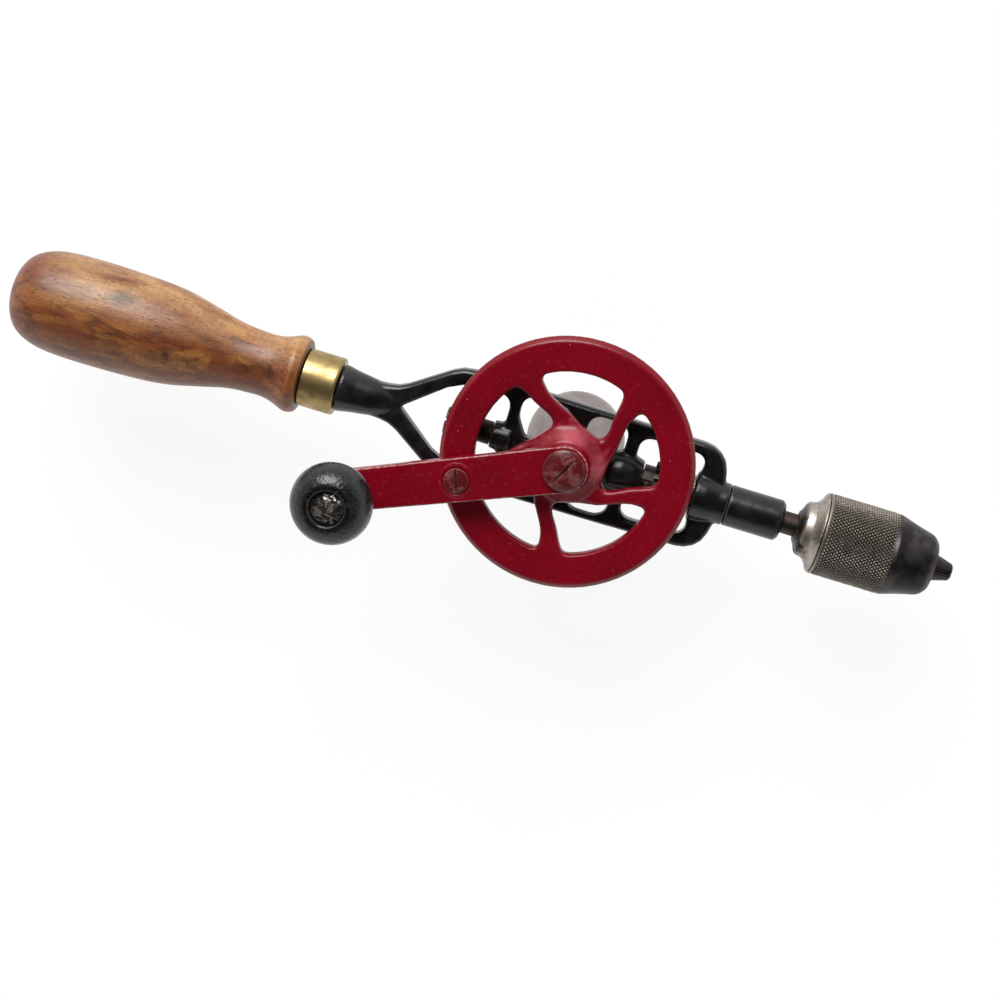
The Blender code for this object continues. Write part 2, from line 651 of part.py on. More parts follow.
def make_wheel():
    """The drive wheel: hub, curved spokes, rim, boss for the arm's screw and bevel teeth."""
    under_outer = WHEEL_RADIUS * ROOT_SLOPE
    under_inner = RIM_INNER_RADIUS * ROOT_SLOPE
    outline = [
        (HUB_BORE_RADIUS, HUB_TOP),
        (HUB_TOP_RADIUS, HUB_TOP),
        (HUB_BASE_RADIUS, RIM_TOP),
        (WHEEL_RADIUS - RIM_CHAMFER, RIM_TOP),
        (WHEEL_RADIUS, RIM_TOP - RIM_CHAMFER),
        (WHEEL_RADIUS, under_outer),
        (RIM_INNER_RADIUS, under_inner),
        (RIM_INNER_RADIUS, SPOKE_BOTTOM),
        (HUB_BASE_RADIUS, SPOKE_BOTTOM),
        (HUB_BASE_RADIUS, HUB_BOTTOM),
        (HUB_BORE_RADIUS, HUB_BOTTOM),
    ]
    wheel = add_part("drive_wheel", turned_mesh(outline, LARGE_STEPS, closed=True), RED_ENAMEL)
    join(wheel, add_tool(wheel_teeth_mesh()))
    low = min(under_inner, SPOKE_BOTTOM, HUB_BOTTOM) - OVERRUN
    windows = []
    for index in range(SPOKE_COUNT):
        window = plate_mesh([window_outline(index)], low, HUB_TOP + OVERRUN)
        windows.append((window, Matrix()))
    cut(wheel, add_tool(merged(windows)))
    place = DRILL_CENTRE + ARM_SCREW_CENTRE
    boss = rod_mesh(ARM_BOSS_RADIUS, RIM_TOP - RIM_CHAMFER, HUB_TOP)
    join(wheel, add_tool(boss, place=place))
    hole_floor = ARM_TOP - ARM_SCREW_LENGTH - GAP
    hole = rod_mesh(ARM_SCREW_RADIUS + GAP, hole_floor, HUB_TOP + OVERRUN)
    cut(wheel, add_tool(hole, place=place))
    return wheel


def make_wheel_bush():
    """The brass bush in the wheel's hub, running on the axle."""
    mesh = ring_mesh(AXLE_BORE_RADIUS, HUB_BORE_RADIUS - GAP, HUB_BOTTOM, HUB_TOP)
    return add_part("wheel_bush", mesh, BRASS)


def make_crank_arm():
    """The flat crank arm, wider at the hub than at the knob."""
    outline = []
    steps = 9
    for step in range(steps + 1):
        outline.append(polar(ARM_HUB_HALF_WIDTH, -90 + 180 * step / steps))
    for step in range(steps + 1):
        x, y = polar(ARM_KNOB_HALF_WIDTH, 90 + 180 * step / steps)
        outline.append((x - CRANK_RADIUS, y))
    turn = Matrix.Rotation(CRANK_ANGLE - math.pi, 4, "Z")
    arm = add_part("crank_arm", plate_mesh([outline], ARM_BOTTOM, ARM_TOP), RED_ENAMEL, turn)
    holes = (
        (Vector((0, 0, 0)), AXLE_BORE_RADIUS),
        (ARM_SCREW_CENTRE, ARM_SCREW_RADIUS + GAP),
        (KNOB_PLACE, KNOB_PIN_RADIUS + GAP),
    )
    for centre, radius in holes:
        hole = rod_mesh(radius, ARM_BOTTOM - OVERRUN, ARM_TOP + OVERRUN)
        cut(arm, add_tool(hole, place=DRILL_CENTRE + centre))
    return arm


def make_wheel_axle():
    """The fixed axle in the frame's boss, bored at both ends for a screw and a stud."""
    middle = (AXLE_BOTTOM + SIDE_STUD_THREAD + GAP + AXLE_TOP - HUB_SCREW_LENGTH - GAP) / 2
    floor = OVERRUN / 2
    axle = add_part("wheel_axle", rod_mesh(AXLE_RADIUS, AXLE_BOTTOM, AXLE_TOP), BARE_STEEL)
    upper_floor = max(AXLE_TOP - HUB_SCREW_LENGTH - GAP, middle + floor)
    lower_floor = min(AXLE_BOTTOM + SIDE_STUD_THREAD + GAP, middle - floor)
    upper = rod_mesh(AXLE_SCREW_BORE_RADIUS, upper_floor, AXLE_TOP + OVERRUN, 20)
    lower = rod_mesh(AXLE_SCREW_BORE_RADIUS, AXLE_BOTTOM - OVERRUN, lower_floor, 20)
    cut(axle, add_tool(upper))
    cut(axle, add_tool(lower))
    return axle


def make_hub_screw():
    """The large slotted screw that keeps the arm and the wheel on the axle."""
    under = AXLE_TOP + GAP
    top = under + HUB_SCREW_HEAD_HEIGHT
    edge = HUB_SCREW_HEAD_HEIGHT / 3
    outline = solid_outline([
        (HUB_SCREW_HEAD_RADIUS - edge * 1.5, top),
        (HUB_SCREW_HEAD_RADIUS - edge * 0.4, top - edge * 0.6),
        (HUB_SCREW_HEAD_RADIUS, top - edge * 1.5),
        (HUB_SCREW_HEAD_RADIUS, under),
        (AXLE_SCREW_RADIUS, under),
        (AXLE_SCREW_RADIUS, AXLE_TOP - HUB_SCREW_LENGTH),
    ])
    screw = add_part("hub_screw", turned_mesh(outline, 36), PAINTED_SCREW)
    cut_slot(
        screw, top, HUB_SCREW_SLOT_WIDTH, HUB_SCREW_SLOT_DEPTH, HUB_SCREW_HEAD_RADIUS,
        HUB_SCREW_SLOT_DEG, Vector((0, 0, 0)),
    )
    return screw


def make_arm_screw():
    """The small slotted screw that ties the arm to the boss on the rim."""
    under = ARM_TOP + GAP
    top = under + ARM_SCREW_HEAD_HEIGHT
    edge = ARM_SCREW_HEAD_HEIGHT / 2
    outline = solid_outline([
        (ARM_SCREW_HEAD_RADIUS - edge, top),
        (ARM_SCREW_HEAD_RADIUS, top - edge),
        (ARM_SCREW_HEAD_RADIUS, under),
        (ARM_SCREW_RADIUS, under),
        (ARM_SCREW_RADIUS, ARM_TOP - ARM_SCREW_LENGTH),
    ])
    place = DRILL_CENTRE + ARM_SCREW_CENTRE
    screw = add_part("arm_screw", turned_mesh(outline, SMALL_STEPS), PAINTED_SCREW, place=place)
    cut_slot(
        screw, top, ARM_SCREW_SLOT_WIDTH, ARM_SCREW_SLOT_DEPTH, ARM_SCREW_HEAD_RADIUS,
        ARM_SCREW_SLOT_DEG, ARM_SCREW_CENTRE,
    )
    return screw


def make_crank_knob():
    """The ball-like knob, bored for its pin and recessed for the pin's head."""
    base = ARM_TOP + GAP
    bore = KNOB_PIN_RADIUS + GAP
    top = base + KNOB_HEIGHT
    floor = top - KNOB_RECESS_DEPTH
    outer = shares_to_outline(KNOB_PROFILE_SHARES, KNOB_RADIUS, base, KNOB_HEIGHT)
    inner = [(bore, base), (bore, floor), (KNOB_RECESS_RADIUS, floor), (KNOB_RECESS_RADIUS, top)]
    mesh = turned_mesh(outer + inner, BODY_STEPS, closed=True)
    return add_part("crank_knob", mesh, BLACK_KNOB, place=DRILL_CENTRE + KNOB_PLACE)


def make_knob_pin():
    """The pin that is riveted in the arm and carries the knob under its domed head."""
    under = ARM_TOP + GAP + KNOB_HEIGHT - KNOB_RECESS_DEPTH + GAP
    top = under + KNOB_PIN_HEAD_HEIGHT
    outline = solid_outline([
        (KNOB_PIN_HEAD_RADIUS * 0.6, top),
        (KNOB_PIN_HEAD_RADIUS * 0.92, top - KNOB_PIN_HEAD_HEIGHT * 0.25),
        (KNOB_PIN_HEAD_RADIUS, top - KNOB_PIN_HEAD_HEIGHT * 0.6),
        (KNOB_PIN_HEAD_RADIUS, under),
        (KNOB_PIN_RADIUS, under),
        (KNOB_PIN_RADIUS, ARM_BOTTOM),
    ])
    mesh = turned_mesh(outline, SMALL_STEPS)
    return add_part("knob_pin", mesh, RUSTED_STEEL, place=DRILL_CENTRE + KNOB_PLACE)


def mirrored(half):
    """A closed outline from its upper half, whose ends lie on the X axis or near it."""
    lower = [(x, -y, radius) for x, y, radius in reversed(half) if y > 0]
    return rounded(list(half) + lower)


def frame_outlines():
    """The outline of the flat loop and fork, and the outlines of its holes."""
    outer = [
        (FORK_APEX - FORK_WAIST * 1.5, FORK_WAIST * 0.94, 0),
        (FORK_APEX - FORK_WAIST * 0.35, FORK_WAIST, FORK_BEND * 1.6),
        (FORK_APEX - FORK_WAIST * 0.35 + FORK_SPREAD_LENGTH, RAIL_HALF_HEIGHT, FORK_BEND),
        (BARREL_BACK + NOSE_WALL * 0.32, NOSE_HALF_HEIGHT, NOSE_CORNER),
        (BARREL_BACK + NOSE_WALL * 0.96, NOSE_HALF_HEIGHT * 0.79, NOSE_CORNER),
        (BARREL_BACK + NOSE_WALL * 1.15, BARREL_RADIUS, 0),
    ]
    fork_inner = PINION_ROOM - GAP
    fork = [
        (FORK_APEX, 0, FORK_APEX_CORNER),
        (FORK_OUTER_END, fork_inner * 0.9, FORK_BEND),
        (FORK_OUTER_END + FORK_WAIST, fork_inner, FORK_BEND * 0.6),
        (REAR_BAR_OUTER, fork_inner, HOLE_CORNER * 0.7),
        (REAR_BAR_OUTER, REAR_BOSS_RADIUS, REAR_BAR_WIDTH / 2),
        (REAR_BOSS_OUTER + BOSS_PROUD, REAR_BOSS_RADIUS * 0.9, 0),
    ]
    nose = [
        (BEARING_BOSS_FRONT - BOSS_PROUD, BEARING_BOSS_RADIUS * 0.7, 0),
        (FRONT_BAR_OUTER, BEARING_BOSS_RADIUS * 0.9, FRONT_BAR_WIDTH * 0.3),
        (FRONT_BAR_OUTER, fork_inner, HOLE_CORNER),
        (BARREL_BACK + NOSE_WALL * 0.18, fork_inner, HOLE_CORNER),
        (BARREL_BACK + BOSS_PROUD, BARREL_RADIUS * 0.9, 0),
    ]
    rear_window = [
        (REAR_BAR_INNER, WINDOW_HEIGHT - GAP, HOLE_CORNER),
        (-STRUT_HALF_WIDTH, WINDOW_HEIGHT - GAP, HOLE_CORNER * 0.8),
        (-STRUT_HALF_WIDTH, AXLE_BOSS_RADIUS * 0.9, 0),
        (-AXLE_BOSS_RADIUS * 0.9, SPINE_HALF_WIDTH, 0),
        (REAR_BAR_INNER + REAR_BAR_WIDTH, SPINE_HALF_WIDTH, REAR_BAR_WIDTH / 2),
        (REAR_BAR_INNER, REAR_BOSS_RADIUS * 1.7, HOLE_CORNER),
    ]
    front_window = [
        (STRUT_HALF_WIDTH, WINDOW_HEIGHT, HOLE_CORNER),
        (FRONT_BAR_INNER, WINDOW_HEIGHT, HOLE_CORNER),
        (FRONT_BAR_INNER, BEARING_BOSS_RADIUS, 0),
        (AXLE_BOSS_RADIUS, WEB_HALF_WIDTH, 0),
        (STRUT_HALF_WIDTH, AXLE_BOSS_RADIUS * 0.9, 0),
    ]
    outlines = [mirrored(outer), mirrored(fork), mirrored(nose)]
    for window in (rear_window, front_window):
        outlines.append(rounded(window))
        outlines.append(rounded([(x, -y, radius) for x, y, radius in reversed(window)]))
    return outlines


def make_frame():
    """The iron frame: collar, fork, pierced loop, bosses for axle, idler and spindle, barrel."""
    half = PLATE_THICKNESS / 2
    plate = plate_mesh(frame_outlines(), -half, half, PLATE_CHAMFER)
    frame = add_part("frame", plate, BLACK_ENAMEL)
    collar_length = COLLAR_FRONT - COLLAR_BACK
    outline = shares_to_outline(
        COLLAR_PROFILE_SHARES, COLLAR_RADIUS, COLLAR_BACK, collar_length)
    join(frame, add_tool(turned_mesh(solid_outline(outline), BODY_STEPS), ALONG_X))
    boss = rod_mesh(AXLE_BOSS_RADIUS, -AXLE_BOSS_DEPTH, AXLE_BOSS_TOP, BODY_STEPS)
    join(frame, add_tool(boss))
    rear_boss = rod_mesh(REAR_BOSS_RADIUS, REAR_BOSS_OUTER, REAR_BOSS_INNER)
    join(frame, add_tool(rear_boss, ALONG_X))
    outline = shares_to_outline(
        BEARING_BOSS_SHARES, BEARING_BOSS_RADIUS, BEARING_BOSS_BACK, BEARING_BOSS_LENGTH)
    join(frame, add_tool(turned_mesh(solid_outline(outline), BODY_STEPS), ALONG_X))
    barrel = solid_outline([
        (SPIGOT_RADIUS, SPIGOT_FRONT),
        (SPIGOT_RADIUS, BARREL_FRONT),
        (BARREL_RADIUS, BARREL_FRONT),
        (BARREL_RADIUS, BARREL_BACK + NOSE_WALL),
        (BARREL_RADIUS + BARREL_FLARE, BARREL_BACK + NOSE_WALL / 2),
        (BARREL_RADIUS + BARREL_FLARE, BARREL_BACK),
    ])
    join(frame, add_tool(turned_mesh(barrel, BODY_STEPS), ALONG_X))
    bores = (
        (TANG_RADIUS + GAP, COLLAR_BACK - OVERRUN, TANG_FRONT + GAP),
        (IDLER_STUD_RADIUS + GAP, REAR_BOSS_OUTER - OVERRUN,
         REAR_BOSS_OUTER + IDLER_STUD_DEPTH + GAP),
        (BUSH_BORE_RADIUS, SPINDLE_BACK - GAP, BEARING_BOSS_FRONT + OVERRUN),
        (BUSH_BORE_RADIUS, BARREL_BACK - OVERRUN, SPIGOT_FRONT + OVERRUN),
    )
    tools = [(rod_mesh(radius, low, high), ALONG_X) for radius, low, high in bores]
    axle_bore = rod_mesh(AXLE_BORE_RADIUS, -AXLE_BOSS_DEPTH - OVERRUN, AXLE_BOSS_TOP + OVERRUN)
    tools.append((axle_bore, Matrix()))
    cut(frame, add_tool(merged(tools)))
    return frame


def make_spindle():
    """The spindle: a thin journal through both bearings and a thicker front end."""
    outline = solid_outline([
        (SPINDLE_RADIUS, SPINDLE_FRONT),
        (SPINDLE_RADIUS, SHOULDER),
        (JOURNAL_RADIUS, SHOULDER),
        (JOURNAL_RADIUS, SPINDLE_BACK),
    ])
    spindle = add_part("spindle", turned_mesh(outline, SMALL_STEPS), BARE_STEEL, ALONG_X)
    cut(spindle, add_tool(pin_hole_mesh(), place=pin_place()))
    return spindle


def pin_place():
    """The crossing of the pinion's pin with the spindle's axis."""
    return DRILL_CENTRE + Vector((PINION_BACK + PINION_HUB_LENGTH / 2, 0, 0))


def pin_hole_mesh():
    """The drilled hole for the pinion's pin."""
    reach = PINION_HUB_RADIUS + OVERRUN
    return rod_mesh(PINION_PIN_RADIUS + GAP, -reach, reach, 12)


def make_pinion(name, face, back, hub_radius):
    """A bevel pinion with a round hub at its small end, facing the wheel's axis."""
    teeth = loft_mesh([pinion_section(PINION_END - face), pinion_section(PINION_END)])
    pinion = add_part(name, teeth, BARE_STEEL)
    hub = rod_mesh(hub_radius, back, PINION_END - face / 2)
    join(pinion, add_tool(hub, ALONG_X))
    return pinion


def make_spindle_pinion():
    """The pinion that is pinned on the spindle."""
    pinion = make_pinion("spindle_pinion", PINION_FACE, PINION_BACK, PINION_HUB_RADIUS)
    bore = rod_mesh(PINION_BORE_RADIUS, PINION_BACK - OVERRUN, PINION_END + OVERRUN)
    cut(pinion, add_tool(bore, ALONG_X))
    cut(pinion, add_tool(pin_hole_mesh(), place=pin_place()))
    return pinion


def make_pinion_pin():
    """The cross pin through the pinion's hub and the spindle."""
    reach = PINION_HUB_RADIUS - GAP
    mesh = rod_mesh(PINION_PIN_RADIUS, -reach, reach, 12)
    return add_part("pinion_pin", mesh, BARE_STEEL, place=pin_place())


def make_thrust_washer():
    """The washer between the pinion and the barrel, which takes the thrust of drilling."""
    low = PINION_END + GAP
    mesh = ring_mesh(PINION_BORE_RADIUS, WASHER_RADIUS, low, low + WASHER_THICKNESS)
    return add_part("thrust_washer", mesh, BARE_STEEL, ALONG_X)


def make_bushes():
    """The bronze bearings of the spindle in the rear boss and in the barrel."""
    rear = ring_mesh(BUSH_INNER_RADIUS, BUSH_OUTER_RADIUS, SPINDLE_BACK, BEARING_BOSS_FRONT)
    add_part("rear_spindle_bush", rear, BRONZE, ALONG_X)
    front = ring_mesh(BUSH_INNER_RADIUS, BUSH_OUTER_RADIUS, BARREL_BACK, SPIGOT_FRONT)
    add_part("front_spindle_bush", front, BRONZE, ALONG_X)


def make_bearing_sleeve():
    """The nose sleeve that screws over the spigot and closes round the spindle."""
    room = SHOULDER + GAP
    outline = [
        (SLEEVE_RADIUS - SLEEVE_CHAMFER, SLEEVE_FRONT),
        (SLEEVE_RADIUS, SLEEVE_FRONT - SLEEVE_CHAMFER),
        (SLEEVE_RADIUS, SLEEVE_BACK),
        (SLEEVE_INNER_RADIUS, SLEEVE_BACK),
        (SLEEVE_INNER_RADIUS, room),
        (SPINDLE_RADIUS + GAP, room),
        (SPINDLE_RADIUS + GAP, SLEEVE_FRONT),
    ]
    mesh = turned_mesh(outline, BODY_STEPS, closed=True)
    return add_part("bearing_sleeve", mesh, BLACK_ENAMEL, ALONG_X)


def make_idler():
    """The idler pinion, turned half a pitch and facing the other way, on its headed stud."""
    idler = make_pinion("idler_pinion", IDLER_FACE, IDLER_BACK, IDLER_HUB_RADIUS)
    bore = rod_mesh(IDLER_STUD_RADIUS + GAP, IDLER_BACK - OVERRUN, PINION_END + OVERRUN)
    half_pitch = Matrix.Rotation(math.pi / PINION_TEETH, 4, "X")
    turn = Matrix.Rotation(math.pi, 4, "Z") @ half_pitch
    idler.matrix_world = Matrix.Translation(DRILL_CENTRE) @ turn
    for modifier in idler.modifiers:
        modifier.object.matrix_world = idler.matrix_world @ ALONG_X
    cut(idler, add_tool(bore, turn @ ALONG_X))
    head_under = PINION_END + GAP
    head_top = head_under + IDLER_HEAD_HEIGHT
    outline = solid_outline([
        (IDLER_HEAD_RADIUS, head_top),
        (IDLER_HEAD_RADIUS, head_under),
        (IDLER_STUD_RADIUS, head_under),
        (IDLER_STUD_RADIUS, IDLER_BACK - GAP - IDLER_STUD_DEPTH),
    ])
    stud = add_part("idler_stud", turned_mesh(outline, SMALL_STEPS), BARE_STEEL, turn @ ALONG_X)
    size = (IDLER_HEAD_RADIUS * 2 + OVERRUN, IDLER_SLOT_WIDTH, IDLER_HEAD_HEIGHT)
    slot = box_mesh(size, Vector((0, 0, head_top)))
    cut(stud, add_tool(slot, turn @ ALONG_X))
    return idler


def make_chuck_body():
    """The chuck's body: a collar flared to the shell, and the thread that carries it."""
    bore = SPINDLE_RADIUS + GAP
    bore_floor = SPINDLE_FRONT + GAP
    collar = shares_to_outline(
        CHUCK_COLLAR_SHARES, CHUCK_COLLAR_RADIUS, CHUCK_BACK, CHUCK_COLLAR_LENGTH)
    outline = [
        (0, CHUCK_THREAD_FRONT),
        (CHUCK_THREAD_RADIUS, CHUCK_THREAD_FRONT),
        (CHUCK_THREAD_RADIUS, CHUCK_THREAD_BACK),
        *collar,
        (bore, CHUCK_BACK),
        (bore, bore_floor),
        (0, bore_floor),
    ]
    body = add_part("chuck_body", turned_mesh(outline, BODY_STEPS), BARE_STEEL, ALONG_X)
    pocket_floor = CHUCK_THREAD_FRONT - SPRING_LENGTH - SPRING_WIRE_RADIUS * 2 - GAP * 2
    pocket = rod_mesh(SPRING_BORE_RADIUS, pocket_floor, CHUCK_THREAD_FRONT + OVERRUN)
    cut(body, add_tool(pocket, ALONG_X))
    reach = CHUCK_COLLAR_RADIUS + OVERRUN
    hole = rod_mesh(SPANNER_HOLE_RADIUS, CHUCK_COLLAR_RADIUS - SPANNER_HOLE_DEPTH, reach, 12)
    middle = CHUCK_BACK + CHUCK_COLLAR_LENGTH * SPANNER_HOLE_SHARE
    place = DRILL_CENTRE + Vector((middle, 0, 0))
    turn = Matrix.Rotation(math.radians(-SPANNER_HOLE_DEG) + math.pi / 2, 4, "X")
    cut(body, add_tool(hole, turn, place))
    return body


def make_jaw_spring():
    """The coil spring in the body's front pocket that pushes the jaws apart."""
    curve = bpy.data.curves.new("coil", "CURVE")
    curve.dimensions = "3D"
    curve.bevel_depth = SPRING_WIRE_RADIUS
    curve.bevel_resolution = 1
    curve.use_fill_caps = True
    spline = curve.splines.new("POLY")
    count = SPRING_TURNS * SPRING_POINTS_PER_TURN
    spline.points.add(count)
    start = CHUCK_THREAD_FRONT - SPRING_LENGTH - SPRING_WIRE_RADIUS - GAP
    for index, point in enumerate(spline.points):
        angle = math.tau * index / SPRING_POINTS_PER_TURN
        along = start + SPRING_PITCH * index / SPRING_POINTS_PER_TURN
        point.co = (SPRING_RADIUS * math.cos(angle), SPRING_RADIUS * math.sin(angle), along, 1)
    holder = bpy.data.objects.new("coil", curve)
    bpy.context.scene.collection.objects.link(holder)
    return add_part("jaw_spring", evaluated_mesh(holder), BARE_STEEL, ALONG_X)


def make_chuck_shell():
    """The knurled shell with its tapered nose, whose inner cone closes the jaws."""
    outer = shares_to_outline(
        CHUCK_SHELL_SHARES, CHUCK_SHELL_RADIUS, SHELL_BACK, CHUCK_SHELL_LENGTH)
    outline = [
        (NOSE_MOUTH_RADIUS, SHELL_FRONT),
        *outer[1:],
        (SHELL_BORE_RADIUS, SHELL_BACK),
        (SHELL_BORE_RADIUS, SHELL_FRONT - CONE_LENGTH),
    ]
    mesh = turned_mesh(outline, BODY_STEPS, closed=True)
    return add_part("chuck_shell", mesh, BARE_STEEL, ALONG_X)


def jaw_section(place, radius):
    """A third of a disc, set back from its neighbours by half a gap, in the plane at place."""
    side_gap = GAP / 2
    spread = math.pi / JAW_COUNT
    points = [(side_gap / math.sin(spread), 0, place)]
    reach = spread - math.asin(side_gap / radius)
    steps = 6
    for step in range(steps + 1):
        angle = -reach + 2 * reach * step / steps
        points.append((radius * math.cos(angle), radius * math.sin(angle), place))
    return points


def make_jaws():
    """Three jaws with sloping backs that meet on the spindle's axis."""
    back_radius = JAW_TIP_RADIUS + JAW_LENGTH * math.tan(JAW_SLOPE)
    bevel_radius = JAW_TIP_RADIUS + JAW_TIP_BEVEL * math.tan(JAW_SLOPE)
    mesh = loft_mesh([
        jaw_section(JAW_BACK, back_radius),
        jaw_section(JAW_FRONT - JAW_TIP_BEVEL, bevel_radius),
        jaw_section(JAW_FRONT, JAW_TIP_RADIUS - JAW_TIP_BEVEL),
    ])
    for index in range(JAW_COUNT):
        turn = Matrix.Rotation(math.tau * index / JAW_COUNT, 4, "X") @ ALONG_X
        add_part(f"chuck_jaw_{index + 1}", mesh.copy(), BLUED_STEEL, turn)


def make_handle():
    """The turned wooden handle with its tenon and the bore for the tang."""
    outer = shares_to_outline(HANDLE_PROFILE_SHARES, HANDLE_RADIUS, HANDLE_BACK, HANDLE_LENGTH)
    bore = TANG_RADIUS + GAP
    bore_floor = TANG_BACK - GAP
    solid = solid_outline([(TENON_RADIUS, TENON_FRONT), (TENON_RADIUS, HANDLE_FRONT), *outer])
    handle = add_part("handle", turned_mesh(solid, BODY_STEPS), VARNISHED_BEECH, ALONG_X)
    cut(handle, add_tool(rod_mesh(bore, bore_floor, TENON_FRONT + OVERRUN), ALONG_X))
    return handle


def make_ferrule():
    """The brass ferrule: a cup over the handle's tenon, pierced for the tang."""
    inner = FERRULE_RADIUS - FERRULE_WALL
    outline = [
        (TANG_RADIUS + GAP, FERRULE_FRONT),
        (FERRULE_RADIUS - FERRULE_ROUND, FERRULE_FRONT),
        (FERRULE_RADIUS - FERRULE_ROUND * 0.3, FERRULE_FRONT - FERRULE_ROUND * 0.3),
        (FERRULE_RADIUS, FERRULE_FRONT - FERRULE_ROUND),
        (FERRULE_RADIUS, FERRULE_BACK),
        (inner, FERRULE_BACK),
        (inner, FERRULE_FRONT - FERRULE_WALL),
        (TANG_RADIUS + GAP, FERRULE_FRONT - FERRULE_WALL),
    ]
    mesh = turned_mesh(outline, BODY_STEPS, closed=True)
    return add_part("handle_ferrule", mesh, BRASS, ALONG_X)


def make_tang():
    """The steel tang, screwed into the frame's collar and driven into the handle."""
    mesh = rod_mesh(TANG_RADIUS, TANG_BACK, TANG_FRONT, 20)
    return add_part("handle_tang", mesh, BARE_STEEL, ALONG_X)


def make_side_handle():
    """The side handle on the far end of the axle, and the stud that holds it."""
    top = -AXLE_BOSS_DEPTH - GAP
    low = top - SIDE_HANDLE_LENGTH
    outer = shares_to_outline(SIDE_HANDLE_SHARES, SIDE_HANDLE_RADIUS, low, SIDE_HANDLE_LENGTH)
    mesh = turned_mesh(solid_outline(outer), BODY_STEPS)
    side_handle = add_part("side_handle", mesh, SATIN_ALUMINIUM)
    stud_low = top - SIDE_STUD_DEPTH
    bore = rod_mesh(AXLE_SCREW_BORE_RADIUS, stud_low - GAP, top + OVERRUN, 20)
    cut(side_handle, add_tool(bore))
    stud = rod_mesh(AXLE_SCREW_RADIUS, stud_low, AXLE_BOTTOM + SIDE_STUD_THREAD, 20)
    add_part("side_handle_stud", stud, BARE_STEEL)


def main():
    for leftover in list(bpy.data.objects):
        bpy.data.objects.remove(leftover)
    make_collection("hand_drill")
    make_collection("cutters")
    make_frame()
    make_handle()
    make_ferrule()
    make_tang()
    make_side_handle()
    make_wheel_axle()
    make_hub_screw()
    make_wheel()
    make_wheel_bush()
    make_crank_arm()
    make_arm_screw()
    make_crank_knob()
    make_knob_pin()
    make_idler()
    make_bushes()
    make_bearing_sleeve()
    make_spindle()
    make_spindle_pinion()
    make_pinion_pin()
    make_thrust_washer()
    make_chuck_body()
    make_jaw_spring()
    make_chuck_shell()
    make_jaws()


main()
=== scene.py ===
"""Shapes and finishes of a crank-driven hand drill, laid over its frame of solids.

Lengths are in metres in the row's frame: the side handle stands on the floor at the origin, X runs
along the spindle to the chuck and Z runs up along the wheel's axle to the crank.
"""

import json
import math

import bmesh
import bpy
import numpy as np
from mathutils import Matrix, Vector


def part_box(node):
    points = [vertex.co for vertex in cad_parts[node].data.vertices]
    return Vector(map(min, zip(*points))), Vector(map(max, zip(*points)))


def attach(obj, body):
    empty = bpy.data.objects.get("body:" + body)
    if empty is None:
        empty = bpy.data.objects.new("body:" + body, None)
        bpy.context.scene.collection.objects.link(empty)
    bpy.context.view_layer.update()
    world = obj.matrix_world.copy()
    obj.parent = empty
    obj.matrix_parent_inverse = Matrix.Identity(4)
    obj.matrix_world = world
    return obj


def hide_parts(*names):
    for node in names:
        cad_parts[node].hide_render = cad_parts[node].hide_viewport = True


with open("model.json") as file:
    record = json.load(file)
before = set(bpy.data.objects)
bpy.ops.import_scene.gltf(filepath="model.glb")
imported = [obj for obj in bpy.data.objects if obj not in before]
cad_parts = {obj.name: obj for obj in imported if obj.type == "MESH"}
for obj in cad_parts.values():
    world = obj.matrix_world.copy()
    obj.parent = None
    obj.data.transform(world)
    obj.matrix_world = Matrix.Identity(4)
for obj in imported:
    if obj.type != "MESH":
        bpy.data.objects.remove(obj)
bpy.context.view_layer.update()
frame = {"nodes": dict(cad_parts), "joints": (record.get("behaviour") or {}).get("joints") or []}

bl_info = {
    "name": "Hand Drill Finishes",
    "version": (1, 0, 0),
    "blender": (4, 5, 0),
    "location": "3D View > Sidebar > Hand Drill",
    "description": "Detailed pieces and finishes for a crank-driven hand drill",
    "category": "Object",
}

AXIS = Vector(next(j["pos_m"] for j in frame["joints"] if j["name"] == "wheel_spin"))
KNOB_AXIS = Vector(next(j["pos_m"] for j in frame["joints"] if j["name"] == "knob_spin"))
ALONG_X = Matrix.Translation(AXIS) @ Matrix.Rotation(math.pi / 2, 4, "Y")
ALONG_Z = Matrix.Translation(AXIS)

# The gap round a fitted piece, how near points are merged, and how near the axis counts as on it
GAP = 0.0003
MERGE = 0.000001
ON_AXIS = 0.0000001

# Outlines of the turned pieces, as (share of the radius, share of the length) from front to back
HANDLE_SHARES = (
    (0.62, 1.0), (0.7, 0.995), (0.745, 0.977), (0.74, 0.959), (0.66, 0.923),
    (0.61, 0.887), (0.605, 0.846), (0.645, 0.764), (0.78, 0.667), (0.905, 0.574),
    (0.97, 0.477), (1.0, 0.333), (1.0, 0.22), (0.985, 0.165), (0.945, 0.112),
    (0.86, 0.068), (0.73, 0.034), (0.53, 0.011), (0.27, 0.0), (0.0, 0.0),
)
KNOB_SHARES = (
    (0.46, 1.0), (0.62, 0.982), (0.8, 0.92), (0.93, 0.83), (1.0, 0.7), (0.985, 0.6),
    (0.9, 0.46), (0.74, 0.31), (0.58, 0.2), (0.52, 0.11), (0.56, 0.0),
)
SIDE_HANDLE_SHARES = (
    (0.46, 1.0), (0.44, 0.93), (0.43, 0.87), (0.51, 0.77), (0.71, 0.63), (0.88, 0.52),
    (0.97, 0.43), (1.0, 0.34), (0.99, 0.24), (0.94, 0.13), (0.85, 0.04), (0.76, 0.0),
)
COLLAR_SHARES = (
    (1.45, 1.0), (1.45, 0.965), (1.39, 0.9), (1.2, 0.79), (1.05, 0.64), (1.0, 0.5), (0.97, 0.3),
    (0.88, 0.21), (0.62, 0.08), (0.55, 0.0),
)
